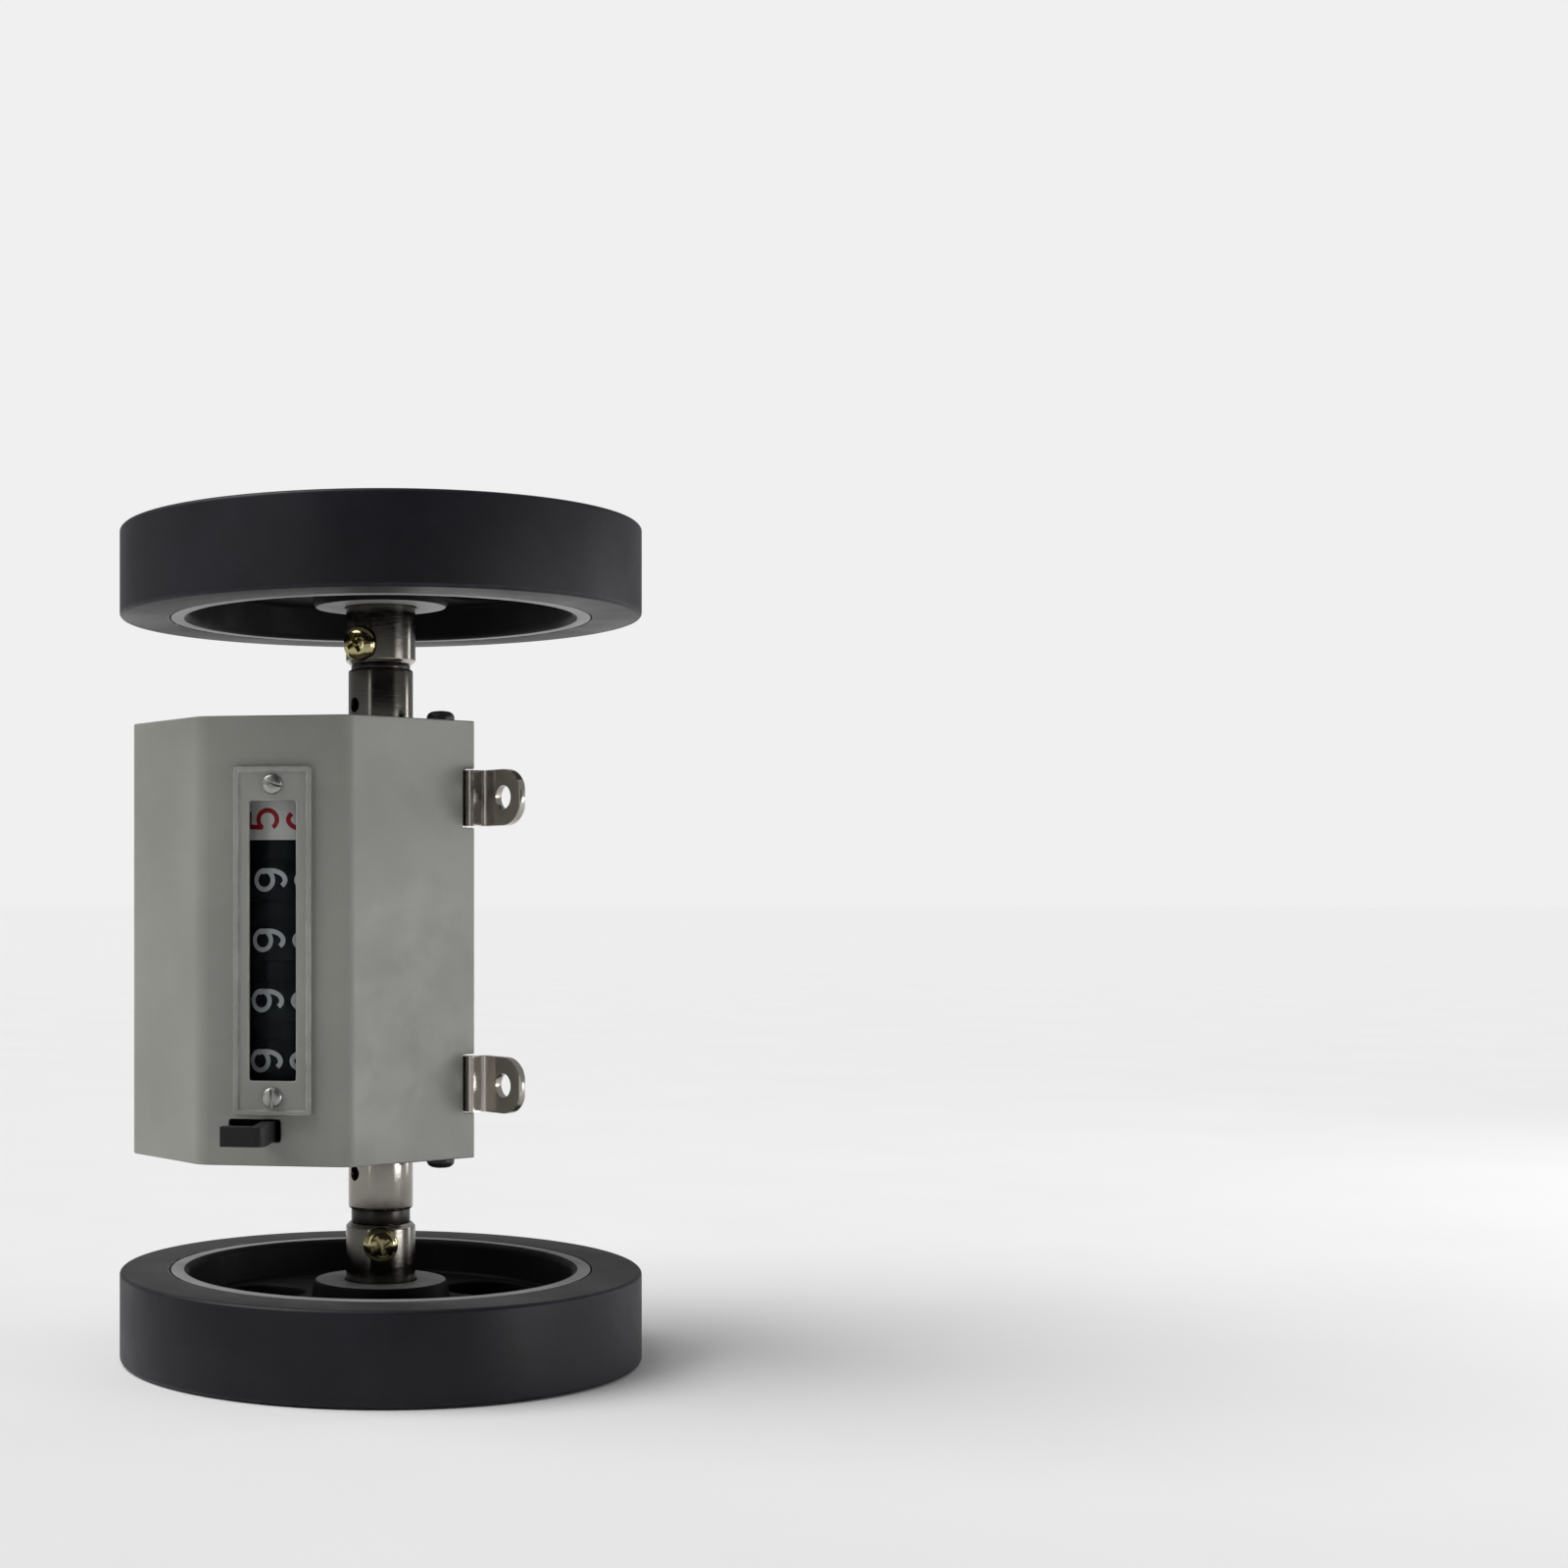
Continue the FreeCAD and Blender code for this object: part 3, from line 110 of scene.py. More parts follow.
SHEET = 1.2 * MM
GAP = 0.3 * MM
CLEAR = 1.0 * MM
CHAMFER = 21.0 * MM
BEND = 1.3 * MM
WINDOW = (9.3 * MM, 54.6 * MM)
WINDOW_LEVEL = (COVER_LOW.z + COVER_HIGH.z) / 2
BEZEL = (15.4 * MM, 67.9 * MM)
BEZEL_THICK = 1.5 * MM
BEZEL_PLATE = 1.0 * MM
BEZEL_RIM = 0.9 * MM
BEZEL_SCREWS = 61.0 * MM
NOTCH = 2.9 * MM
NOTCH_DEPTH = 0.2 * MM
LUG_WIDTH = 11.2 * MM
LUG_SPACING = 57.4 * MM
LUG_SHIFT = 0.3 * MM
LUG_HOLE = 2.4 * MM
LUG_THICK = 1.5 * MM
LUG_ROOT = 4 * MM
LUG_BEND = 1.1 * MM

# Reset lever, across the facet from the counter shaft

LEVER_THICK = 3.8 * MM
LEVER_STRIP = 2.8 * MM
LEVER_STAND = 13.2 * MM
LEVER_SET = 1.6 * MM
LEVER_LEAN = 0.1 * MM
LEVER_TIP = 7.2 * MM
LEVER_HUB = 4.2 * MM
LEVER_HEEL = 2.3 * MM
LEVER_CROOK = 0.8 * MM
LEVER_SLOT = (-8.9 * MM, 1.4 * MM)
COUNTER_SHAFT = 2.0 * MM

# Figure wheels: each one shows its figure at its bearing

FIGURE_RADIUS = 13.0 * MM
FIGURE_CROWN = FIGURE_RADIUS + 0.08 * MM
FIGURE_WIDTH = 8.0 * MM
FIGURE_SIZE = 3.72 * MM
FIGURE_STROKE = 0.94 * MM
FIGURE_FLATNESS = 0.10
FIGURE_STEP = 36.0
FIGURE_NAMES = ["thousands", "hundreds", "tens", "units", "tenths"]
FIGURES_SHOWN = {"thousands": 9, "hundreds": 9, "tens": 9, "units": 9, "tenths": 5}
FIGURE_BEARINGS = {
    "thousands": 216.0,
    "hundreds": 217.1,
    "tens": 218.3,
    "units": 220.0,
    "tenths": 212.9,
}
# Spread in degrees of the black gap strips, painted shade, either side of the window facet.
GAP_SHADE_SPREAD = 56

# The facet that holds the window, between the casing's top and front

FACET_BEARING = 225
FACET_ALONG = Vector((1, -1, 0)).normalized()
FACET_OUT = Vector((-1, -1, 0)).normalized()
FACET_CENTRE = Vector((COVER_LOW.x + CHAMFER / 2, COVER_LOW.y + CHAMFER / 2, WINDOW_LEVEL))


# Mesh helpers

def add_piece(name, mesh, smooth_angle=35):
    """Object of its own for a mesh, smoothly shaded."""
    piece = bpy.data.objects.new(name, mesh)
    bpy.context.scene.collection.objects.link(piece)
    shade(piece, smooth_angle)
    return piece


def shade(piece, smooth_angle=35):
    """Smooth shading, kept sharp where two faces meet at more than the angle."""
    mesh = piece.data
    for face in mesh.polygons:
        face.use_smooth = True
    mesh.set_sharp_from_angle(angle=math.radians(smooth_angle))


def mesh_from(bm, name):
    """Finished mesh with its faces turned outwards."""
    bmesh.ops.recalc_face_normals(bm, faces=bm.faces)
    mesh = bpy.data.meshes.new(name)
    bm.to_mesh(mesh)
    bm.free()
    return mesh


def rounded(points, radius, steps=4):
    """Closed outline with each corner replaced by a short curve."""
    count = len(points)
    result = []
    for i, (x, y) in enumerate(points):
        before = Vector(points[i - 1])
        corner = Vector((x, y))
        after = Vector(points[(i + 1) % count])
        reach_in = min(radius, (before - corner).length * 0.45)
        reach_out = min(radius, (after - corner).length * 0.45)
        start = corner + (before - corner).normalized() * reach_in
        end = corner + (after - corner).normalized() * reach_out
        for step in range(steps + 1):
            t = step / steps
            result.append(tuple(start * (1 - t) ** 2 + corner * 2 * t * (1 - t) + end * t ** 2))
    return result


def bent_outline(points, radii, steps=6):
    """Outline with only the given corners curved, each by its own reach."""
    result = []
    for i, corner in enumerate(points):
        if i in radii:
            result += rounded(points, radii[i], steps)[i * (steps + 1):(i + 1) * (steps + 1)]
        else:
            result.append(corner)
    return result


def lathe(name, profile, segments=96, turn=None):
    """Solid of revolution about the local Z from a closed outline of (radius, level) pairs."""
    bm = bmesh.new()
    rings = []
    for radius, level in profile:
        if radius < 1e-7:
            rings.append([bm.verts.new((0, 0, level))])
            continue
        rings.append([
            bm.verts.new((radius * math.cos(2 * math.pi * i / segments),
                          radius * math.sin(2 * math.pi * i / segments), level))
            for i in range(segments)
        ])
    for here, there in zip(rings, rings[1:] + rings[:1]):
        if len(here) == 1 and len(there) == 1:
            continue
        for i in range(segments):
            j = (i + 1) % segments
            if len(here) == 1:
                bm.faces.new((here[0], there[i], there[j]))
            elif len(there) == 1:
                bm.faces.new((here[i], here[j], there[0]))
            else:
                bm.faces.new((here[i], here[j], there[j], there[i]))
    if turn is not None:
        bmesh.ops.transform(bm, matrix=turn, verts=bm.verts)
    return add_piece(name, mesh_from(bm, name))


def prism(name, outline, depth, turn=None):
    """Outline in the local XY plane, thickened along the local Z."""
    bm = bmesh.new()
    corners = [bm.verts.new((x, y, 0)) for x, y in outline]
    face = bm.faces.new(corners)
    grown = bmesh.ops.extrude_face_region(bm, geom=[face])
    raised = [item for item in grown["geom"] if isinstance(item, bmesh.types.BMVert)]
    bmesh.ops.translate(bm, verts=raised, vec=(0, 0, depth))
    if turn is not None:
        bmesh.ops.transform(bm, matrix=turn, verts=bm.verts)
    return add_piece(name, mesh_from(bm, name))


def rod(name, radius, low, high, turn, segments):
    """Plain cylinder along the local Z."""
    return lathe(name, [(0, low), (radius, low), (radius, high), (0, high)], segments, turn)


def box_outline(width, length, corner=0.0, steps=4):
    """Rectangle about the origin, with rounded corners if asked."""
    x, y = width / 2, length / 2
    points = [(-x, -y), (x, -y), (x, y), (-x, y)]
    return rounded(points, corner, steps) if corner else points


def circle_outline(radius, steps=48):
    """Circle about the origin."""
    return [(radius * math.cos(2 * math.pi * i / steps), radius * math.sin(2 * math.pi * i / steps))
            for i in range(steps)]


def axes(origin, x_axis, y_axis, z_axis):
    """Placement whose columns are the given directions."""
    turn = Matrix((x_axis, y_axis, z_axis)).transposed().to_4x4()
    turn.translation = origin
    return turn


def lifted(level):
    """Placement moved along Z."""
    return Matrix.Translation((0, 0, level))


def radial(bearing):
    """Level direction at a bearing in degrees."""
    angle = math.radians(bearing)
    return Vector((math.cos(angle), math.sin(angle), 0))


def along(origin, direction, spin=0.0):
    """Placement whose local Z points along a direction."""
    turn = Vector(direction).to_track_quat("Z", "Y").to_matrix().to_4x4()
    return Matrix.Translation(origin) @ turn @ Matrix.Rotation(spin, 4, "Z")


def settle(piece):
    """Apply the piece's modifiers to its mesh."""
    graph = bpy.context.evaluated_depsgraph_get()
    shaped = piece.evaluated_get(graph)
    piece.data = bpy.data.meshes.new_from_object(
        shaped, preserve_all_data_layers=True, depsgraph=graph)
    piece.modifiers.clear()


def carve(piece, cutters):
    """Cut other pieces out of this one."""
    for cutter in cutters:
        step = piece.modifiers.new("cut", "BOOLEAN")
        step.operation = "DIFFERENCE"
        step.solver = "EXACT"
        step.object = cutter
    settle(piece)
    for cutter in cutters:
        bpy.data.objects.remove(cutter)
    return piece


def unite(piece, others):
    """Merge other pieces into this one."""
    for other in others:
        step = piece.modifiers.new("unite", "BOOLEAN")
        step.operation = "UNION"
        step.solver = "EXACT"
        step.object = other
    settle(piece)
    for other in others:
        bpy.data.objects.remove(other)
    return piece


def soften(piece, width, segments=2, angle=40):
    """Round the piece's sharp edges a little, as tumbling, moulding or paint does."""
    bevel = piece.modifiers.new("edges", "BEVEL")
    bevel.width = width
    bevel.segments = segments
    bevel.limit_method = "ANGLE"
    bevel.angle_limit = math.radians(angle)
    settle(piece)
    shade(piece)
    even_normals(piece)
    return piece


def even_normals(piece):
    """Keep large flat faces evenly shaded next to their rounded edges."""
    step = piece.modifiers.new("normals", "WEIGHTED_NORMAL")
    step.keep_sharp = True
    step.mode = "FACE_AREA"
    step.weight = 100
    settle(piece)


def join(name, pieces):
    """One piece from several separate solids."""
    bm = bmesh.new()
    for piece in pieces:
        bm.from_mesh(piece.data)
    mesh = bpy.data.meshes.new(name)
    bm.to_mesh(mesh)
    bm.free()
    for piece in pieces:
        bpy.data.objects.remove(piece)
    return add_piece(name, mesh)


def dress(piece, body, material, replaced=()):
    """Put the piece on its body, with its finish, in place of the nodes that it stands for."""
    piece.data.materials.clear()
    piece.data.materials.append(material)
    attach(piece, body)
    if replaced:
        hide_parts(*replaced)
    return piece


def refinish(piece, material, chosen):
    """Give a second finish to the faces that the test chooses."""
    piece.data.materials.append(material)
    for polygon in piece.data.polygons:
        if chosen(polygon):
            polygon.material_index = 1
    return piece


# Materials

def new_material(name):
    """Material with its node tree and its main shader."""
    material = bpy.data.materials.new(name)
    material.use_nodes = True
    tree = material.node_tree
    shader = tree.nodes["Principled BSDF"]
    return material, tree, shader


def scaled(colour, factor):
    """Lighter or darker shade of a colour."""
    return tuple(min(1.0, channel * factor) for channel in colour)


def noise(tree, scale, detail=4.0, stretch=(1, 1, 1), roughness=0.55):
    """Solid noise in the object's own coordinates, its scale in features per metre."""
    coordinates = tree.nodes.new("ShaderNodeTexCoord")
    mapping = tree.nodes.new("ShaderNodeMapping")
    mapping.inputs["Scale"].default_value = stretch
    texture = tree.nodes.new("ShaderNodeTexNoise")
    texture.inputs["Scale"].default_value = scale
    texture.inputs["Detail"].default_value = detail
    texture.inputs["Roughness"].default_value = roughness
    tree.links.new(coordinates.outputs["Object"], mapping.inputs["Vector"])
    tree.links.new(mapping.outputs["Vector"], texture.inputs["Vector"])
    return texture.outputs["Fac"]


def remap(tree, value, low, high, from_low=0.3, from_high=0.7):
    """A value's range stretched or squeezed onto another range."""
    node = tree.nodes.new("ShaderNodeMapRange")
    node.inputs["From Min"].default_value = from_low
    node.inputs["From Max"].default_value = from_high
    node.inputs["To Min"].default_value = low
    node.inputs["To Max"].default_value = high
    tree.links.new(value, node.inputs["Value"])
    return node.outputs["Result"]


def blend_colours(tree, factor, first, second):
    """Mix of two colours, each a plain colour or another node's output."""
    mix = tree.nodes.new("ShaderNodeMix")
    mix.data_type = "RGBA"
    tree.links.new(factor, mix.inputs["Factor"])
    for socket, colour in (("A", first), ("B", second)):
        target = [s for s in mix.inputs if s.name == socket and s.type == "RGBA"][0]
        if isinstance(colour, tuple):
            target.default_value = (*colour, 1)
        else:
            tree.links.new(colour, target)
    return [s for s in mix.outputs if s.type == "RGBA"][0]


def edge_wear_and_highlight(tree, reach=0.5 * MM, amount=0.8):
    """Factor that rises near sharp edges, broken up by noise."""
    geometry = tree.nodes.new("ShaderNodeNewGeometry")
    rounding = tree.nodes.new("ShaderNodeBevel")
    rounding.samples = 4
    rounding.inputs["Radius"].default_value = reach
    alike = tree.nodes.new("ShaderNodeVectorMath")
    alike.operation = "DOT_PRODUCT"
    tree.links.new(geometry.outputs["Normal"], alike.inputs[0])
    tree.links.new(rounding.outputs["Normal"], alike.inputs[1])
    edges = remap(tree, alike.outputs["Value"], amount, 0.0, 0.90, 0.995)
    patches = remap(tree, noise(tree, 260, 5), 0.0, 1.0, 0.42, 0.60)
    product = tree.nodes.new("ShaderNodeMath")
    product.operation = "MULTIPLY"
    product.use_clamp = True
    tree.links.new(edges, product.inputs[0])
    tree.links.new(patches, product.inputs[1])
    return product.outputs[0]


def bump(tree, shader, layers):
    """Chain of bump layers, each (height, distance in metres, strength)."""
    previous = None
    for height, distance, strength in layers:
        node = tree.nodes.new("ShaderNodeBump")
        node.inputs["Distance"].default_value = distance
        node.inputs["Strength"].default_value = strength
        tree.links.new(height, node.inputs["Height"])
        if previous is not None:
            tree.links.new(previous, node.inputs["Normal"])
        previous = node.outputs["Normal"]
    tree.links.new(previous, shader.inputs["Normal"])


def painted(name, colour, worn, roughness=(0.34, 0.5)):
    """Satin sheet-metal paint with faint orange peel, dust and lightly rubbed edges."""
    material, tree, shader = new_material(name)
    cloud = remap(tree, noise(tree, 38, 5), 0.0, 1.0)
    base = blend_colours(tree, cloud, scaled(colour, 0.90), scaled(colour, 1.08))
    specks = remap(tree, noise(tree, 2600, 2), 0.0, 0.35, 0.60, 0.74)
    base = blend_colours(tree, specks, base, scaled(colour, 0.8))
    base = blend_colours(tree, edge_wear_and_highlight(tree), base, worn)
    tree.links.new(base, shader.inputs["Base Color"])
    tree.links.new(remap(tree, noise(tree, 90, 6), *roughness), shader.inputs["Roughness"])
    bump(tree, shader, [
        (noise(tree, 900, 3), 0.00012, 0.22),
        (noise(tree, 4200, 2), 0.00004, 0.18),
    ])
    return material


def plated(name, colour, roughness=(0.12, 0.3), streak=(1, 1, 1)):
    """Bright plating over rolled or turned steel, with hazy patches and fine lines."""
    material, tree, shader = new_material(name)
    shader.inputs["Metallic"].default_value = 1.0
    haze = remap(tree, noise(tree, 120, 6), 0.0, 1.0)
    base = blend_colours(tree, haze, scaled(colour, 0.82), colour)
    tree.links.new(base, shader.inputs["Base Color"])
    tree.links.new(remap(tree, noise(tree, 340, 6, streak), *roughness), shader.inputs["Roughness"])
    bump(tree, shader, [(noise(tree, 1500, 3, streak), 0.00005, 0.16)])
    return material


def moulded(name, colour, roughness=(0.38, 0.55), grain=2400, depth=0.00006, gloss=0.4):
    """Moulded plastic with a fine grain and slight shade differences."""
    material, tree, shader = new_material(name)
    cloud = remap(tree, noise(tree, 60, 5), 0.0, 1.0)
    base = blend_colours(tree, cloud, scaled(colour, 0.8), scaled(colour, 1.25))
    tree.links.new(base, shader.inputs["Base Color"])
    tree.links.new(remap(tree, noise(tree, 150, 5), *roughness), shader.inputs["Roughness"])
    shader.inputs["Specular IOR Level"].default_value = gloss
    bump(tree, shader, [(noise(tree, grain, 3), depth, 0.2)])
    return material


def rubber(name, colour):
    """Moulded tyre rubber: satin, with dusty bloom, small pits and much lighter edges, partly
    rubbed wear and partly a painted highlight along the corners.
    """
    material, tree, shader = new_material(name)
    bloom = remap(tree, noise(tree, 22, 7, roughness=0.62), 0.0, 1.0, 0.40, 0.66)
    base = blend_colours(tree, bloom, colour, scaled(colour, 2.2))
    scuffs = remap(tree, noise(tree, 420, 4), 0.0, 0.3, 0.62, 0.76)
    base = blend_colours(tree, scuffs, base, scaled(colour, 2.4))
    # Edges lightened twentyfold: partly rubbed wear, partly a painted highlight along the tyre's
    # corners.
    base = blend_colours(tree, edge_wear_and_highlight(tree, 0.6 * MM), base, scaled(colour, 20))
    tree.links.new(base, shader.inputs["Base Color"])
    tree.links.new(remap(tree, noise(tree, 28, 6), 0.36, 0.60), shader.inputs["Roughness"])
    shader.inputs["Specular IOR Level"].default_value = 0.22
    bump(tree, shader, [
        (noise(tree, 700, 4), 0.00010, 0.20),
        (noise(tree, 3600, 2), 0.00004, 0.22),
    ])
    return material


def clear_pane(name):
    """Clear plastic sheet: see-through, with a faint surface gloss."""
    material, tree, shader = new_material(name)
    output = tree.nodes["Material Output"]
    see_through = tree.nodes.new("ShaderNodeBsdfTransparent")
    see_through.inputs["Color"].default_value = (0.95, 0.96, 0.96, 1)
    tree.links.new(remap(tree, noise(tree, 200, 4), 0.05, 0.12), shader.inputs["Roughness"])
    shader.inputs["Base Color"].default_value = (0.02, 0.02, 0.02, 1)
    layer = tree.nodes.new("ShaderNodeLayerWeight")
    layer.inputs["Blend"].default_value = 0.25
    mix = tree.nodes.new("ShaderNodeMixShader")
    factor = remap(tree, layer.outputs["Fresnel"], 0.02, 0.35, 0.0, 1.0)
    tree.links.new(factor, mix.inputs["Fac"])
    tree.links.new(see_through.outputs["BSDF"], mix.inputs[1])
    tree.links.new(shader.outputs["BSDF"], mix.inputs[2])
    tree.links.new(mix.outputs["Shader"], output.inputs["Surface"])
    return material


CASING_PAINT = painted("casing_paint", (0.262, 0.264, 0.238), (0.42, 0.42, 0.385))
BEZEL_PAINT = painted("bezel_paint", (0.272, 0.274, 0.250), (0.52, 0.52, 0.49), (0.3, 0.42))
NICKEL = plated("nickel", (0.52, 0.48, 0.44), (0.12, 0.28))
TURNED_NICKEL = plated("turned_nickel", (0.27, 0.25, 0.225), (0.07, 0.2), (1, 1, 9))
# Darker copy of the turned nickel: painted shade, standing for the dark reflections on the upper
# bearing and the collars.
TURNED_NICKEL_PAINTED_SHADE = plated("turned_nickel_painted_shade", (0.125, 0.118, 0.104), (0.10, 0.24), (1, 1, 9))
# Near-black steel for the thrust washer: painted shade in the gap between collar and bearing.
NECK_STEEL_PAINTED_SHADE = plated("neck_steel_painted_shade", (0.040, 0.036, 0.034), (0.25, 0.42))
STEEL = plated("zinc_sheet", (0.55, 0.55, 0.55), (0.3, 0.5))
# Steel darkened nearly to black: painted shade for the dark neck between collar and bearing.
GROUND_STEEL_PAINTED_SHADE = plated("ground_steel", (0.13, 0.12, 0.115), (0.16, 0.32), (1, 1, 12))
SPRING_STEEL = plated("spring_steel", (0.35, 0.35, 0.37), (0.3, 0.45))
YELLOW_ZINC = plated("yellow_zinc", (0.42, 0.37, 0.20), (0.08, 0.2))
SILVER_SCREW = plated("silver_screw", (0.40, 0.40, 0.38), (0.3, 0.45))
BLACK_SCREW = moulded("black_oxide", (0.018, 0.018, 0.019), (0.3, 0.45))
LEVER_BLACK = moulded("lever_black", (0.008, 0.008, 0.009), (0.4, 0.55), 1800, gloss=0.28)
# Two copies of the one wheel plastic: near-black for the recess, web and holes as painted shade,
# grey for the exposed flat faces as painted light.
WHEEL_PLASTIC_PAINTED_SHADE = moulded("wheel_plastic", (0.003, 0.003, 0.0033), (0.45, 0.60), 1500, 0.00008, 0.07)
WHEEL_FACE_PAINTED_LIGHT = moulded("wheel_face_painted_light", (0.240, 0.240, 0.243), (0.42, 0.56), 1500, 0.00006)
TYRE_RUBBER = rubber("tyre_rubber", (0.0064, 0.0062, 0.0088))
# Lighter copy of the tyre rubber for the flat side faces: painted light.
TYRE_SIDE_PAINTED_LIGHT = rubber("tyre_side_painted_light", (0.0200, 0.0200, 0.0210))
FIGURE_BLACK = moulded("figure_black", (0.004, 0.0075, 0.0105), (0.40, 0.55), gloss=0.2)
# Dull near-black for the figure wheel bodies, the white tenths wheel's too, seen in the gaps
# between the bands: painted shade.
GAP_BLACK_PAINTED_SHADE = moulded("gap_black_painted_shade", (0.004, 0.004, 0.005), (0.6, 0.8), gloss=0.08)
FIGURE_WHITE = moulded("figure_white", (0.92, 0.80, 0.78), (0.4, 0.55))
PRINT_WHITE = moulded("print_white", (0.66, 0.68, 0.71), (0.5, 0.65))
PRINT_RED = moulded("print_red", (0.42, 0.010, 0.022), (0.45, 0.6))
GEAR_PLASTIC = moulded("gear_plastic", (0.55, 0.52, 0.44), (0.4, 0.55))
PANE = clear_pane("pane_clear")


# Measuring wheels

def wheel_levels(end):
    """Outer face level and the direction from it towards the casing."""
    return (LOWER_WHEEL[0], 1) if end == "lower" else (UPPER_WHEEL[1], -1)


def wheel_turn(end):
    """Placement of a wheel built with its outer face on Z = 0 and its inner side upwards."""
    face, inward = wheel_levels(end)
    return lifted(face) if inward > 0 else lifted(face) @ Matrix.Rotation(math.pi, 4, "X")


def make_tyre(end):
    """Solid tyre with slightly rounded edges and side faces lighter than the tread: painted light
    on the flat faces.
    """
    profile = rounded([
        (TYRE_INNER, 0.0),
        (WHEEL_RADIUS - TYRE_EDGE, 0.0),
        (WHEEL_RADIUS, TYRE_EDGE),
        (WHEEL_RADIUS, WHEEL_WIDTH - TYRE_EDGE),
        (WHEEL_RADIUS - TYRE_EDGE, WHEEL_WIDTH),
        (TYRE_INNER, WHEEL_WIDTH),
    ], radius=0.3 * MM, steps=3)
    tyre = lathe(f"{end}_tyre_moulding", profile, segments=192, turn=wheel_turn(end))
    dress(tyre, "axle", TYRE_RUBBER, [f"{end}_tyre"])
    # Flat side faces in the lighter copy: painted light.
    return refinish(tyre, TYRE_SIDE_PAINTED_LIGHT, lambda polygon: abs(polygon.normal.z) > FLAT)


def hand_hole_cutters():
    """Cutters for the round holes in a wheel's web, with flared mouths."""
    half = WEB / 2
    upper = [
        (HAND_HOLE, half - HAND_FLARE),
        (HAND_HOLE + HAND_FLARE * 0.3, half - HAND_FLARE * 0.4),
        (HAND_HOLE + HAND_FLARE, half),
        (HAND_HOLE + HAND_FLARE * 2.6, half + CLEAR),
        (0.0, half + CLEAR),
    ]
    lower = [(radius, -level) for radius, level in reversed(upper)]
    cutters = []
    for i in range(HAND_HOLES):
        angle = 2 * math.pi * i / HAND_HOLES
        place = (HAND_CIRCLE * math.cos(angle), HAND_CIRCLE * math.sin(angle), WHEEL_WIDTH / 2)
        cutters.append(lathe("cutter", lower + upper, segments=56, turn=Matrix.Translation(place)))
    return cutters


def make_wheel(end):
    """Moulded wheel with a rim, a web with six round holes, and a boss; its exposed flat faces are
    a grey copy of the plastic, painted light, and its recess, web and holes a near-black copy,
    painted shade.
    """
    web = (WHEEL_WIDTH - WEB) / 2
    near = [
        (COLLAR, BOSS_SETBACK),
        (BOSS, BOSS_SETBACK),
        (BOSS + DRAFT, web),
        (RECESS - DRAFT, web),
        (RECESS, DRAFT),
        (RECESS + DRAFT, 0.0),
        (TYRE_INNER, 0.0),
    ]
    far = [(radius, WHEEL_WIDTH - level) for radius, level in reversed(near)]
    profile = rounded(near + far, radius=0.7 * MM, steps=3)
    wheel = lathe(f"{end}_wheel_moulding", profile, segments=144)
    carve(wheel, hand_hole_cutters())
    wheel.data.transform(wheel_turn(end))
    shade(wheel)
    # Recess, web and holes in the near-black copy: painted shade.
    dress(wheel, "axle", WHEEL_PLASTIC_PAINTED_SHADE, [f"{end}_wheel"])
    face, inward = wheel_levels(end)
    flat_depths = (0.0, BOSS_SETBACK, WHEEL_WIDTH - BOSS_SETBACK, WHEEL_WIDTH)

    def on_flat_face(polygon):
        depth = (polygon.center.z - face) * inward
        away = min(abs(depth - flat) for flat in flat_depths)
        return abs(polygon.normal.z) > FLAT and away < 0.1 * MM

    # Exposed flat faces in the grey copy: painted light.
    return refinish(wheel, WHEEL_FACE_PAINTED_LIGHT, on_flat_face)


# Shaft, collars, clamp screws and bearings

def clamp_place(end):
    """Level of a clamp screw and its direction out of the collar."""
    face, inward = wheel_levels(end)
    return face + inward * (COLLAR_REACH - CLAMP_INSET), radial(CLAMP_BEARINGS[end])


def make_collar(end):
    """Turned collar with a countersunk mouth and the clamp screw's hole; its body is a darker copy
    of the nickel, painted shade for its dark reflections, and its bevelled end keeps the bright
    nickel.
    """
    profile = rounded([
        (SHAFT, BOSS_SETBACK),
        (COLLAR, BOSS_SETBACK),
        (COLLAR, COLLAR_REACH - COLLAR_EDGE),
        (COLLAR - COLLAR_EDGE, COLLAR_REACH),
        (SHAFT + COLLAR_MOUTH, COLLAR_REACH),
        (SHAFT, COLLAR_REACH - COLLAR_MOUTH),
    ], radius=0.2 * MM, steps=2)
    collar = lathe(f"{end}_collar_turning", profile)
    collar.data.transform(wheel_turn(end))
    level, direction = clamp_place(end)
    hole = along(direction * (SHAFT / 2) + UP * level, direction)
    carve(collar, [rod("cutter", CLAMP_SHANK + 0.1 * MM, 0, 9 * MM, hole, segments=32)])
    shade(collar)
    # Collar body in the darker nickel copy: painted shade; the bevel below keeps the bright nickel.
    dress(collar, "axle", TURNED_NICKEL_PAINTED_SHADE, [f"{end}_collar"])

    def on_bevel(polygon):
        outside = polygon.center.xy.length > (SHAFT + COLLAR) / 2
        return outside and 0.3 < abs(polygon.normal.z) < FLAT

    return refinish(collar, NICKEL, on_bevel)


def cross_cutters(turn, reach, width, depth):
    """Two crossed bars that cut a cross recess."""
    outline = box_outline(reach, width)
    return [prism("cutter", outline, depth, turn @ Matrix.Rotation(spin, 4, "Z"))
            for spin in (0, math.pi / 2)]


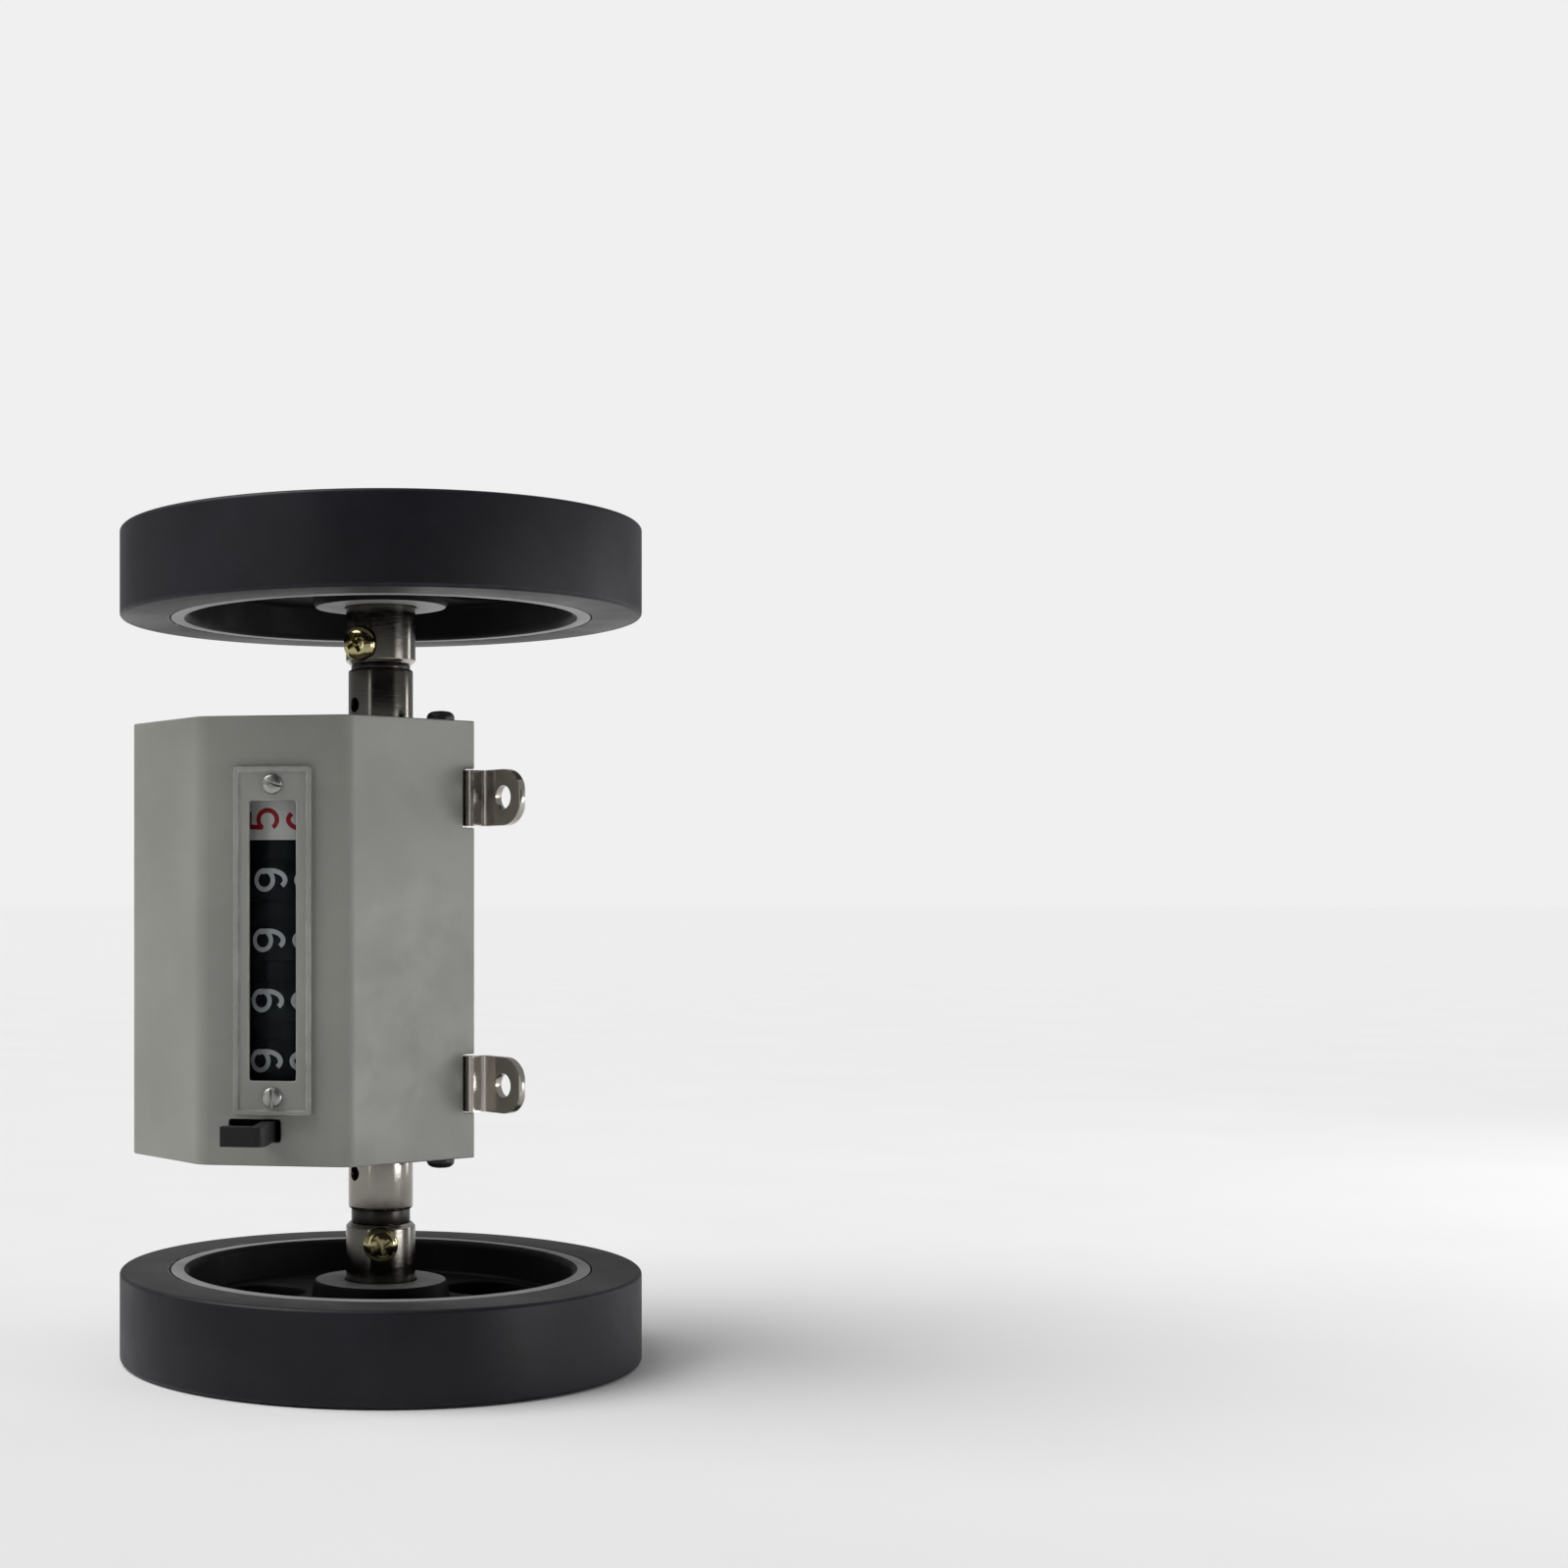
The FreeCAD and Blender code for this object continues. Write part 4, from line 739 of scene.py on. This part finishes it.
def pan_screw(name, turn, shank, length, head, height, drive):
    """Pan-head screw along the local Z, the seat of its head at the local origin."""
    profile = [
        (0, -length),
        (shank * 0.8, -length),
        (shank, -length + shank * 0.25),
        (shank, -0.05 * MM),
        (shank, 0.0),
        (head * 0.97, 0.0),
        (head, height * 0.12),
        (head, height * 0.38),
        (head * 0.965, height * 0.56),
        (head * 0.86, height * 0.76),
        (head * 0.68, height * 0.91),
        (head * 0.40, height * 0.985),
        (0, height),
    ]
    screw = lathe(name, profile, segments=48, turn=turn)
    if drive == "cross":
        carve(screw, cross_cutters(turn @ lifted(height * 0.35), head * 1.15, head * 0.24, height))
    else:
        slot = box_outline(head * 2.4, head * 0.28)
        carve(screw, [prism("cutter", slot, height, turn @ lifted(height * 0.45))])
    return soften(screw, 0.05 * MM, segments=1)


def make_clamp_screw(end):
    """Yellow cross-headed screw that clamps a collar to the shaft."""
    level, direction = clamp_place(end)
    seat = direction * (COLLAR + GAP) + UP * level
    screw = pan_screw(f"{end}_clamp_screw_turning", along(seat, direction, spin=0.5),
                      shank=CLAMP_SHANK, length=COLLAR - SHAFT + GAP,
                      head=CLAMP_HEAD, height=CLAMP_HEIGHT, drive="cross")
    return dress(screw, "axle", YELLOW_ZINC, [f"{end}_clamp_screw"])


def make_shaft():
    """Ground shaft with chamfered ends, a smooth skin over the coarser node."""
    low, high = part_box("main_shaft")
    shaft = lathe("shaft_bar", [
        (0, low.z),
        (SHAFT - SHAFT_BEVEL, low.z),
        (SHAFT, low.z + SHAFT_BEVEL),
        (SHAFT, high.z - SHAFT_BEVEL),
        (SHAFT - SHAFT_BEVEL, high.z),
        (0, high.z),
    ], segments=64)
    # The shaft takes the darkened steel: painted shade in the neck between collar and bearing.
    return dress(shaft, "axle", GROUND_STEEL_PAINTED_SHADE)


def make_bearing(end):
    """Turned bearing boss beside the casing, with its oil hole on the top side."""
    lower = end == "lower"
    face, outward = (COVER_LOW.z, -1) if lower else (COVER_HIGH.z, 1)
    low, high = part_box(f"{end}_bearing")
    outer, inner = (low.z, high.z) if lower else (high.z, low.z)
    bore = SHAFT + 0.05 * MM
    profile = rounded([
        (bore, outer),
        (BEARING, outer),
        (BEARING, face),
        (SPIGOT, face),
        (SPIGOT, inner),
        (bore, inner),
    ], radius=0.45 * MM, steps=3)
    boss = lathe(f"{end}_bearing_turning", profile)
    start = Vector((-SHAFT * 1.01, 0, face + outward * OIL_STAND))
    flared_hole = [
        (0, 0),
        (OIL_HOLE, 0),
        (OIL_HOLE, 2.2 * MM),
        (OIL_HOLE + 0.5 * MM, 3 * MM),
        (0, 3 * MM),
    ]
    carve(boss, [lathe("cutter", flared_hole, segments=32, turn=along(start, (-1, 0, 0)))])
    shade(boss)
    # The upper bearing takes the darker copy of the nickel: painted shade for its dark reflections.
    finish = TURNED_NICKEL if lower else TURNED_NICKEL_PAINTED_SHADE
    return dress(boss, "housing", finish, [f"{end}_bearing"])


def make_washer(end):
    """Thrust washer on the shaft, in the gap between the collar and the bearing, near-black as
    painted shade in that gap.
    """
    face, inward = wheel_levels(end)
    low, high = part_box(f"{end}_bearing")
    bearing_face = low.z if inward > 0 else high.z
    near = face + inward * (COLLAR_REACH + WASHER_PLAY)
    far = bearing_face - inward * WASHER_PLAY
    bore = SHAFT + WASHER_PLAY / 2
    outline = [(bore, near), (WASHER, near), (WASHER, far), (bore, far)]
    profile = rounded(outline, radius=0.1 * MM, steps=2)
    washer = lathe(f"{end}_thrust_washer", profile, segments=72)
    return dress(washer, "axle", NECK_STEEL_PAINTED_SHADE)


# Casing

def casing_outline(inset, base):
    """Casing in plan, anticlockwise seen from above, walls moved inwards by the inset."""
    lean = inset * (math.sqrt(2) - 1)
    top = COVER_LOW.x + inset
    front = COVER_LOW.y + inset
    rear = COVER_HIGH.y - inset
    return [
        (base, front),
        (base, rear),
        (top, rear),
        (top, COVER_LOW.y + CHAMFER + lean),
        (COVER_LOW.x + CHAMFER + lean, front),
    ]


def facet_turn(proud=0.0, shift=0.0):
    """Placement on the window facet: x towards the front edge, y along +Z, z outwards."""
    origin = FACET_CENTRE + FACET_OUT * proud + UP * shift
    return axes(origin, FACET_ALONG, UP, FACET_OUT)


def axle_slot(length):
    """Cutter for the round-ended slots in both end walls, open towards the base."""
    half = SPIGOT + GAP
    outline = [(half * math.cos(math.radians(a)), half * math.sin(math.radians(a)))
               for a in range(90, 271, 10)]
    outline += [(COVER_HIGH.x + CLEAR, -half), (COVER_HIGH.x + CLEAR, half)]
    return prism("cutter", outline, length + 2 * CLEAR, lifted(COVER_LOW.z - CLEAR))


def lug_notch(middle):
    """Cutter for the notches in both side walls that one pair of lugs comes out of."""
    low, high = BASE_LOW.x - GAP, COVER_HIGH.x + CLEAR
    half = LUG_WIDTH / 2 + GAP
    bottom, top = middle - half, middle + half
    outline = [(low, bottom), (high, bottom), (high, top), (low, top)]
    depth = COVER_HIGH.y - COVER_LOW.y + 2 * CLEAR
    turn = axes(Vector((0, COVER_LOW.y - CLEAR, 0)), Vector((1, 0, 0)), UP, Vector((0, -1, 0)))
    return prism("cutter", outline, depth, turn @ lifted(-depth))


def lever_slot():
    """Cutter for the slot in the window facet that the reset lever swings in."""
    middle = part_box("reset_lever")[1].z - LEVER_THICK / 2
    half = LEVER_THICK / 2 + GAP
    left, right = LEVER_SLOT
    outline = rounded([(left, -half), (right, -half), (right, half), (left, half)],
                      radius=0.6 * MM, steps=3)
    return prism("cutter", outline, 3 * SHEET, facet_turn(-2 * SHEET, middle - WINDOW_LEVEL))


def make_cover():
    """Folded sheet casing with its window, slots and notches."""
    length = COVER_HIGH.z - COVER_LOW.z
    folds = (2, 3, 4)
    outer_bends = {fold: BEND * 1.5 for fold in folds}
    inner_bends = {fold: BEND * 0.6 for fold in folds}
    outside = bent_outline(casing_outline(0, COVER_HIGH.x), outer_bends)
    inside = bent_outline(casing_outline(SHEET, COVER_HIGH.x + CLEAR), inner_bends)
    shell = prism("casing_shell", outside, length, lifted(COVER_LOW.z))
    carve(shell, [prism("cutter", inside, length - 2 * SHEET, lifted(COVER_LOW.z + SHEET))])
    window = box_outline(WINDOW[0] + 2 * GAP, WINDOW[1] + 2 * GAP)
    cutters = [axle_slot(length)]
    cutters += [lug_notch(middle) for middle in lug_levels()]
    cutters += [prism("cutter", window, 3 * SHEET, facet_turn(-2 * SHEET)), lever_slot()]
    carve(shell, cutters)
    soften(shell, 0.35 * MM, segments=3)
    return dress(shell, "housing", CASING_PAINT, ["cover"])


def make_bezel():
    """Window frame: bevelled lip all round, sunk face, window opening with notched ends."""
    width, length = BEZEL
    corner, inner_corner = 0.5 * MM, 0.3 * MM
    notch_slope, notch_shift = (0.8 * MM, 0.25 * MM), 0.2 * MM
    bezel = prism("bezel_frame", box_outline(width, length, corner, 3), BEZEL_THICK, facet_turn())
    sunk_face = box_outline(width - 2 * BEZEL_RIM, length - 2 * BEZEL_RIM, inner_corner, 2)
    cutters = [
        prism("cutter", sunk_face, CLEAR, facet_turn(BEZEL_PLATE)),
        prism("cutter", box_outline(*WINDOW, corner, 3), 4 * MM, facet_turn(-CLEAR)),
    ]
    notch = [
        (0, 0),
        (NOTCH - notch_slope[0], 0),
        (NOTCH, notch_slope[1]),
        (NOTCH, CLEAR),
        (0, CLEAR),
    ]
    for side in (-1, 1):
        turn = facet_turn(BEZEL_PLATE - NOTCH_DEPTH, side * (WINDOW[1] / 2 + notch_shift))
        cutters.append(lathe("cutter", notch, segments=40, turn=turn))
    carve(bezel, cutters)
    soften(bezel, 0.28 * MM)
    return dress(bezel, "housing", BEZEL_PAINT, ["window_bezel"])


def make_bezel_screws():
    """Two slotted screws, one at each end of the window frame."""
    screws = []
    for side in (-1, 1):
        spin = 0.7 - 0.9 * side
        turn = facet_turn(BEZEL_PLATE, side * BEZEL_SCREWS / 2) @ Matrix.Rotation(spin, 4, "Z")
        screws.append(pan_screw("bezel_screw", turn, shank=1.0 * MM, length=2.4 * MM,
                                head=2.0 * MM, height=0.95 * MM, drive="slot"))
    screws = join("bezel_screw_turnings", screws)
    return dress(screws, "housing", SILVER_SCREW, ["bezel_screws"])


def make_cover_screws():
    """Black cross-headed screws in both ends of the casing."""
    low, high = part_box("cover_screws")
    head = 2.8 * MM
    x = (low.x + high.x) / 2
    screws = []
    for y in (low.y + head, high.y - head):
        for level, direction in ((COVER_LOW.z, -1), (COVER_HIGH.z, 1)):
            turn = along((x, y, level), (0, 0, direction), spin=0.4 + 13 * y)
            screws.append(pan_screw("cover_screw", turn, shank=1.5 * MM, length=6 * MM,
                                    head=head, height=2.0 * MM, drive="cross"))
    screws = join("cover_screw_turnings", screws)
    return dress(screws, "housing", BLACK_SCREW, ["cover_screws"])


# Base plate and lugs

def lug_levels():
    """Middles of the lower and the upper pair of lugs."""
    middle = WINDOW_LEVEL - LUG_SHIFT
    return (middle - LUG_SPACING / 2, middle + LUG_SPACING / 2)


def lug_cutters(turn, side):
    """Cutters for a lug's hole and for all that lies outside its round tip."""
    reach = LUG_WIDTH / 2
    depth = 8 * MM
    far, beside = 12 * MM, 9 * MM
    tip = [(side * reach * math.cos(math.radians(a)), reach * math.sin(math.radians(a)))
           for a in range(-90, 91, 6)]
    around = [(0, beside), (side * far, beside), (side * far, -beside), (0, -beside)]
    return [
        prism("cutter", tip + around, depth, turn),
        prism("cutter", circle_outline(LUG_HOLE), depth, turn),
    ]


def make_lug(level, side):
    """Joggled strip: out of the base plate, down, and out again to a round tip with its hole."""
    wall = COVER_LOW.y if side < 0 else COVER_HIGH.y
    tip = BASE_LOW.y if side < 0 else BASE_HIGH.y
    top, foot = BASE_LOW.x, BASE_HIGH.x
    start = wall - side * LUG_ROOT
    inner = wall + side * GAP
    outer = inner + side * LUG_THICK
    path = [
        (top, start),
        (top, outer),
        (foot - LUG_THICK, outer),
        (foot - LUG_THICK, tip),
        (foot, tip),
        (foot, inner),
        (top + LUG_THICK, inner),
        (top + LUG_THICK, start),
    ]
    if side > 0:
        path = path[::-1]
    bent = rounded(path, radius=LUG_BEND, steps=4)
    strip = prism("lug", bent, LUG_WIDTH, lifted(level - LUG_WIDTH / 2))
    hole = Vector((foot + CLEAR, tip - side * LUG_WIDTH / 2, level))
    turn = axes(hole, Vector((0, 1, 0)), UP, Vector((1, 0, 0))) @ lifted(-6 * MM)
    carve(strip, lug_cutters(turn, side))
    return soften(strip, 0.18 * MM)


def make_base():
    """Plated base plate with its four lugs."""
    inset = SHEET + GAP
    front, rear = COVER_LOW.y + inset, COVER_HIGH.y - inset
    low, high = COVER_LOW.z + inset, COVER_HIGH.z - inset
    outline = [(front, low), (rear, low), (rear, high), (front, high)]
    turn = axes(Vector((BASE_LOW.x, 0, 0)), Vector((0, 1, 0)), UP, Vector((1, 0, 0)))
    plate = soften(prism("base_sheet", outline, LUG_THICK, turn), 0.2 * MM, angle=32)
    lugs = [make_lug(level, side) for level in lug_levels() for side in (-1, 1)]
    base = join("base_pressing", [plate] + lugs)
    return dress(base, "housing", NICKEL, ["base_plate"])


# Reset lever

def make_lever():
    """Black painted strip with a rounded heel and a finger paddle, out of the facet's slot."""
    low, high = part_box("reset_lever")
    under = high.z - LEVER_THICK
    turn = axes(Vector((REGISTER.x, REGISTER.y, under)), FACET_OUT, FACET_ALONG, UP)
    facet_reach = (REGISTER - Vector((*FACET_CENTRE.xy, 0))).dot(-FACET_OUT)
    outer = facet_reach + LEVER_STAND
    inner = outer - LEVER_STRIP
    half = LEVER_STRIP / 2
    outline = [
        (0, -LEVER_SET - half),
        (0, half - LEVER_SET),
        (outer, LEVER_LEAN + half),
        (outer, -LEVER_TIP),
        (inner, -LEVER_TIP),
        (inner, LEVER_LEAN - half),
    ]
    heel, crook = 2, 5
    bent = bent_outline(outline, {heel: LEVER_HEEL, crook: LEVER_CROOK})
    strip = prism("lever_strip", bent[::-1], LEVER_THICK, turn)
    hub_low = low.z - under
    unite(strip, [rod("hub", LEVER_HUB, hub_low, LEVER_THICK, turn, segments=48)])
    bore = rod("cutter", COUNTER_SHAFT, hub_low - CLEAR, LEVER_THICK + CLEAR, turn, segments=32)
    carve(strip, [bore])
    soften(strip, 0.3 * MM, segments=3)
    strip.name = "lever_pressing"
    return dress(strip, "reset", LEVER_BLACK, ["reset_lever"])


# Figures

def arc(centre, radii, start, end, steps=20):
    """Points on an ellipse between two angles in degrees."""
    points = []
    for i in range(steps + 1):
        angle = math.radians(start + (end - start) * i / steps)
        x, y = radii[0] * math.cos(angle), radii[1] * math.sin(angle)
        points.append((centre[0] + x, centre[1] + y))
    return points


def figure_strokes(figure):
    """Centre lines of a plain figure, 1 unit wide and 1.6 high, with its middle at the origin."""
    w, h = 0.5, 0.8
    bowl = 0.47
    if figure == 6:
        return [[(-x, -y) for x, y in stroke] for stroke in figure_strokes(9)]
    return {
        0: [arc((0, 0), (w, h), 90, 450, 40)],
        1: [[(-0.3, 0.5), (0.06, h), (0.06, -h)]],
        2: [arc((0, h - w), (w, w), 165, -35, 20) + [(-w, -h), (w, -h)]],
        3: [arc((0, 0.40), (0.43, 0.40), 150, -90, 20), arc((0, -0.36), (w, 0.44), 90, -150, 20)],
        4: [[(0.22, -h), (0.22, h), (-w, -0.32), (w, -0.32)]],
        5: [[(0.42, h), (-0.36, h), (-0.42, 0.06)] + arc((0, -0.28), (w, 0.52), 140, -145, 24)],
        7: [[(-w, h), (w, h), (-0.12, -h)]],
        8: [arc((0, 0.40), (0.41, 0.40), 90, 450, 30), arc((0, -0.38), (w, 0.42), 90, 450, 30)],
        9: [arc((0, h - bowl), (w, bowl), 0, 360, 32), arc((0, 0), (w, h), 35, -128, 24)],
    }[figure]


def resampled(points, spacing=0.1):
    """The same path with points close enough together to follow the wheel's curve."""
    result = [points[0]]
    for (x0, y0), (x1, y1) in zip(points, points[1:]):
        parts = max(1, math.ceil(math.hypot(x1 - x0, y1 - y0) / spacing))
        for k in range(1, parts + 1):
            result.append((x0 + (x1 - x0) * k / parts, y0 + (y1 - y0) * k / parts))
    return result


def figure_mesh(figure):
    """Flat, slightly crowned strokes of one figure in its own plane."""
    curve = bpy.data.curves.new("strokes", "CURVE")
    curve.dimensions = "3D"
    curve.bevel_depth = FIGURE_STROKE / 2
    curve.bevel_resolution = 2
    curve.use_fill_caps = True
    for points in map(resampled, figure_strokes(figure)):
        closed = (Vector(points[0]) - Vector(points[-1])).length < 1e-6
        if closed:
            points = points[:-1]
        spline = curve.splines.new("POLY")
        spline.points.add(len(points) - 1)
        for target, (x, y) in zip(spline.points, points):
            target.co = (x * FIGURE_SIZE, y * FIGURE_SIZE, 0, 1)
        spline.use_cyclic_u = closed
    holder = bpy.data.objects.new("strokes", curve)
    bpy.context.scene.collection.objects.link(holder)
    graph = bpy.context.evaluated_depsgraph_get()
    mesh = bpy.data.meshes.new_from_object(holder.evaluated_get(graph))
    bpy.data.objects.remove(holder)
    for vertex in mesh.vertices:
        vertex.co.z *= FIGURE_FLATNESS
    return mesh


def figure_level(name):
    """Middle of one figure wheel along the axle."""
    low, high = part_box(f"{name}_wheel")
    return (low.z + high.z) / 2


def make_band(name):
    """Smooth band round one figure wheel."""
    root = FIGURE_RADIUS - 0.9 * MM
    half = FIGURE_WIDTH / 2
    profile = rounded([(root, -half), (FIGURE_CROWN, -half), (FIGURE_CROWN, half), (root, half)],
                      radius=0.06 * MM, steps=2)
    place = Matrix.Translation((REGISTER.x, REGISTER.y, figure_level(name)))
    band = lathe(f"{name}_band", profile, segments=120, turn=place)
    if name == "tenths":
        return dress(band, f"{name}_figures", FIGURE_WHITE)
    return dress(band, f"{name}_figures", FIGURE_BLACK)


def make_print(name):
    """The ten figures of one figure wheel, wrapped round its band."""
    level = figure_level(name)
    sunk = 0.02 * MM
    bm = bmesh.new()
    for step in range(10):
        centre = math.radians(FIGURE_BEARINGS[name] + FIGURE_STEP * step)
        mesh = figure_mesh((FIGURES_SHOWN[name] + step) % 10)
        for vertex in mesh.vertices:
            x, y, rise = vertex.co
            angle = centre - y / FIGURE_CROWN
            radius = FIGURE_CROWN + max(rise, -sunk)
            vertex.co = (
                REGISTER.x + radius * math.cos(angle),
                REGISTER.y + radius * math.sin(angle),
                level + x,
            )
        bm.from_mesh(mesh)
        bpy.data.meshes.remove(mesh)
    prints = bpy.data.meshes.new(f"{name}_print")
    bm.to_mesh(prints)
    bm.free()
    ink = PRINT_RED if name == "tenths" else PRINT_WHITE
    piece = add_piece(f"{name}_print", prints, smooth_angle=60)
    return dress(piece, f"{name}_figures", ink)


def make_figure_gap_shades():
    """Thin black strips in the gaps between the figure wheels behind the window: painted shade that
    darkens the gaps.
    """
    levels = [figure_level(name) for name in FIGURE_NAMES]
    margin = 0.08 * MM
    spread = range(-GAP_SHADE_SPREAD, GAP_SHADE_SPREAD + 1, 2)
    angles = [math.radians(FACET_BEARING + turn) for turn in spread]
    ring = [(FIGURE_CROWN * math.cos(a), FIGURE_CROWN * math.sin(a)) for a in angles]
    ring += [(FIGURE_RADIUS * math.cos(a), FIGURE_RADIUS * math.sin(a)) for a in reversed(angles)]
    strips = []
    for below, above in zip(levels, levels[1:]):
        bottom = below + FIGURE_WIDTH / 2 + margin
        height = above - FIGURE_WIDTH / 2 - margin - bottom
        place = Matrix.Translation((REGISTER.x, REGISTER.y, bottom))
        strips.append(prism("mask", ring, height, place))
    masks = join("figure_gap_shades", strips)
    return dress(masks, "housing", FIGURE_BLACK)


# Carried-over nodes

NODE_FINISHES = {
    "lower_side_plate": STEEL,
    "upper_side_plate": STEEL,
    "frame_rivets": STEEL,
    "window_pane": PANE,
    "pinion_shaft": GROUND_STEEL_PAINTED_SHADE,
    "pinion_spacers": GEAR_PLASTIC,
    "upper_spacer": GEAR_PLASTIC,
    "lower_spacer": GEAR_PLASTIC,
    "reset_spring": SPRING_STEEL,
    "main_shaft": GROUND_STEEL_PAINTED_SHADE,
    "thrust_collars": STEEL,
    "collar_grub_screws": BLACK_SCREW,
    "tenths_gear": GEAR_PLASTIC,
    # The figure wheel bodies take the dull near-black: painted shade in the gaps between the bands.
    "tenths_wheel": GAP_BLACK_PAINTED_SHADE,
    "units_wheel": GAP_BLACK_PAINTED_SHADE,
    "tens_wheel": GAP_BLACK_PAINTED_SHADE,
    "hundreds_wheel": GAP_BLACK_PAINTED_SHADE,
    "thousands_wheel": GAP_BLACK_PAINTED_SHADE,
    "units_pinion": GEAR_PLASTIC,
    "tens_pinion": GEAR_PLASTIC,
    "hundreds_pinion": GEAR_PLASTIC,
    "thousands_pinion": GEAR_PLASTIC,
    "counter_shaft": GROUND_STEEL_PAINTED_SHADE,
    "lever_grub_screw": BLACK_SCREW,
    "shaft_clip": SPRING_STEEL,
}


def finish_nodes():
    """Put the scene's finishes on the CAD nodes that stay in sight."""
    for name, material in NODE_FINISHES.items():
        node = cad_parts[name]
        if not node.material_slots:
            node.data.materials.append(material)
        for slot in node.material_slots:
            slot.material = material


# Studio

FLOOR_RADIUS = 30.0


def make_floor():
    """Large pale floor that runs out to the pale surroundings."""
    bm = bmesh.new()
    bmesh.ops.create_circle(bm, cap_ends=True, segments=96, radius=FLOOR_RADIUS)
    floor = add_piece("studio_floor", mesh_from(bm, "studio_floor"))
    floor.location.z = -0.2 * MM
    material, tree, shader = new_material("floor_paper")
    shader.inputs["Roughness"].default_value = 0.9
    shader.inputs["Specular IOR Level"].default_value = 0.1
    tint = remap(tree, noise(tree, 14, 4), 0.0, 1.0)
    paper = blend_colours(tree, tint, (0.86, 0.86, 0.86), (0.88, 0.88, 0.88))
    tree.links.new(paper, shader.inputs["Base Color"])
    floor.data.materials.append(material)


def make_surround():
    """Plain pale surroundings behind everything, which only the camera sees."""
    bm = bmesh.new()
    bmesh.ops.create_uvsphere(bm, u_segments=48, v_segments=24, radius=2 * FLOOR_RADIUS)
    surround = add_piece("studio_surround", mesh_from(bm, "studio_surround"))
    material = bpy.data.materials.new("surround_paper")
    material.use_nodes = True
    tree = material.node_tree
    tree.nodes.remove(tree.nodes["Principled BSDF"])
    glow = tree.nodes.new("ShaderNodeEmission")
    glow.inputs["Color"].default_value = (PALE, PALE, PALE, 1)
    tree.links.new(glow.outputs["Emission"], tree.nodes["Material Output"].inputs["Surface"])
    surround.data.materials.append(material)
    surround.visible_diffuse = False
    surround.visible_glossy = False
    surround.visible_transmission = False
    surround.visible_shadow = False


def make_dark_screen():
    """Dark curved screen on the camera's side, above the floor, that the camera doesn't see."""
    radius, low, high = 1.3, 0.10, 2.2
    first, last, steps = 188, 284, 20
    bm = bmesh.new()
    rows = []
    for step in range(steps + 1):
        angle = math.radians(first + (last - first) * step / steps)
        place = (radius * math.cos(angle), radius * math.sin(angle))
        rows.append([bm.verts.new((*place, level)) for level in (low, high)])
    for here, there in zip(rows, rows[1:]):
        bm.faces.new((here[0], there[0], there[1], here[1]))
    screen = add_piece("dark_screen", mesh_from(bm, "dark_screen"))
    material, _, shader = new_material("screen_cloth")
    shader.inputs["Base Color"].default_value = (0.03, 0.03, 0.03, 1)
    shader.inputs["Roughness"].default_value = 1.0
    screen.data.materials.append(material)
    screen.visible_camera = False


def place_lamp(name, light):
    """Put a light into the scene."""
    lamp = bpy.data.objects.new(name, light)
    bpy.context.scene.collection.objects.link(lamp)
    return lamp


def area_light(name, place, target, size, power):
    """Rectangular light that faces its target; sizes in metres, power in watts."""
    light = bpy.data.lights.new(name, "AREA")
    light.shape = "RECTANGLE"
    light.size, light.size_y = size
    light.energy = power
    lamp = place_lamp(name, light)
    lamp.location = place
    lamp.rotation_euler = (Vector(target) - Vector(place)).to_track_quat("-Z", "Y").to_euler()


def soft_sun(name, bearing, elevation, spread, strength):
    """Distant light, wide across, so that the floor is evenly lit out to the horizon."""
    light = bpy.data.lights.new(name, "SUN")
    light.energy = strength
    light.angle = math.radians(spread)
    above = math.radians(elevation)
    towards = radial(bearing) * math.cos(above) + UP * math.sin(above)
    place_lamp(name, light).rotation_euler = towards.to_track_quat("Z", "Y").to_euler()


def make_lights():
    """Dim surroundings, a wide soft light from the upper left rear and three small lights."""
    world = bpy.data.worlds.new("studio")
    world.use_nodes = True
    background = world.node_tree.nodes["Background"]
    background.inputs["Color"].default_value = (1.0, 1.0, 1.0, 1)
    background.inputs["Strength"].default_value = 0.34
    bpy.context.scene.world = world
    soft_sun("overhead_light", bearing=155, elevation=58, spread=50, strength=2.45)
    area_light("left_strip", (-0.95, -0.25, 0.30), (0, 0, OVERALL / 2), (0.10, 0.8), 0.7)
    area_light("right_box", (0.66, -0.20, 0.08), (0, 0, 0.075), (0.10, 0.30), 0.8)
    area_light("front_box", (0.30, -0.55, 0.04), (0, 0, 0.06), (0.25, 0.12), 1.0)


def make_camera():
    """Level camera at the photograph's place, a little over half the counter's height."""
    axle_column, horizon_row, frame_pixels = 388.5, 917.5, 1600
    focal_pixels = 2421
    sensor = 36.0
    camera = bpy.data.cameras.new("camera")
    camera.sensor_width = sensor
    camera.lens = focal_pixels / frame_pixels * sensor
    camera.shift_x = (frame_pixels / 2 - axle_column) / frame_pixels
    camera.shift_y = (horizon_row - frame_pixels / 2) / frame_pixels
    camera.clip_start = 0.01
    distance, height, azimuth = 0.485, 0.093, math.radians(-35.5)
    holder = bpy.data.objects.new("camera", camera)
    holder.location = (distance * math.sin(azimuth), -distance * math.cos(azimuth), height)
    holder.rotation_euler = (math.pi / 2, 0, azimuth)
    bpy.context.scene.collection.objects.link(holder)
    bpy.context.scene.camera = holder


make_camera()
make_lights()
make_floor()
make_surround()
make_dark_screen()
for wheel_end in ("lower", "upper"):
    make_tyre(wheel_end)
    make_wheel(wheel_end)
    make_collar(wheel_end)
    make_clamp_screw(wheel_end)
    make_bearing(wheel_end)
    make_washer(wheel_end)
make_shaft()
make_cover()
make_bezel()
make_bezel_screws()
make_cover_screws()
make_base()
make_lever()
for figure_name in FIGURE_NAMES:
    make_band(figure_name)
    make_print(figure_name)
make_figure_gap_shades()
finish_nodes()
bpy.context.scene.view_settings.view_transform = "Standard"
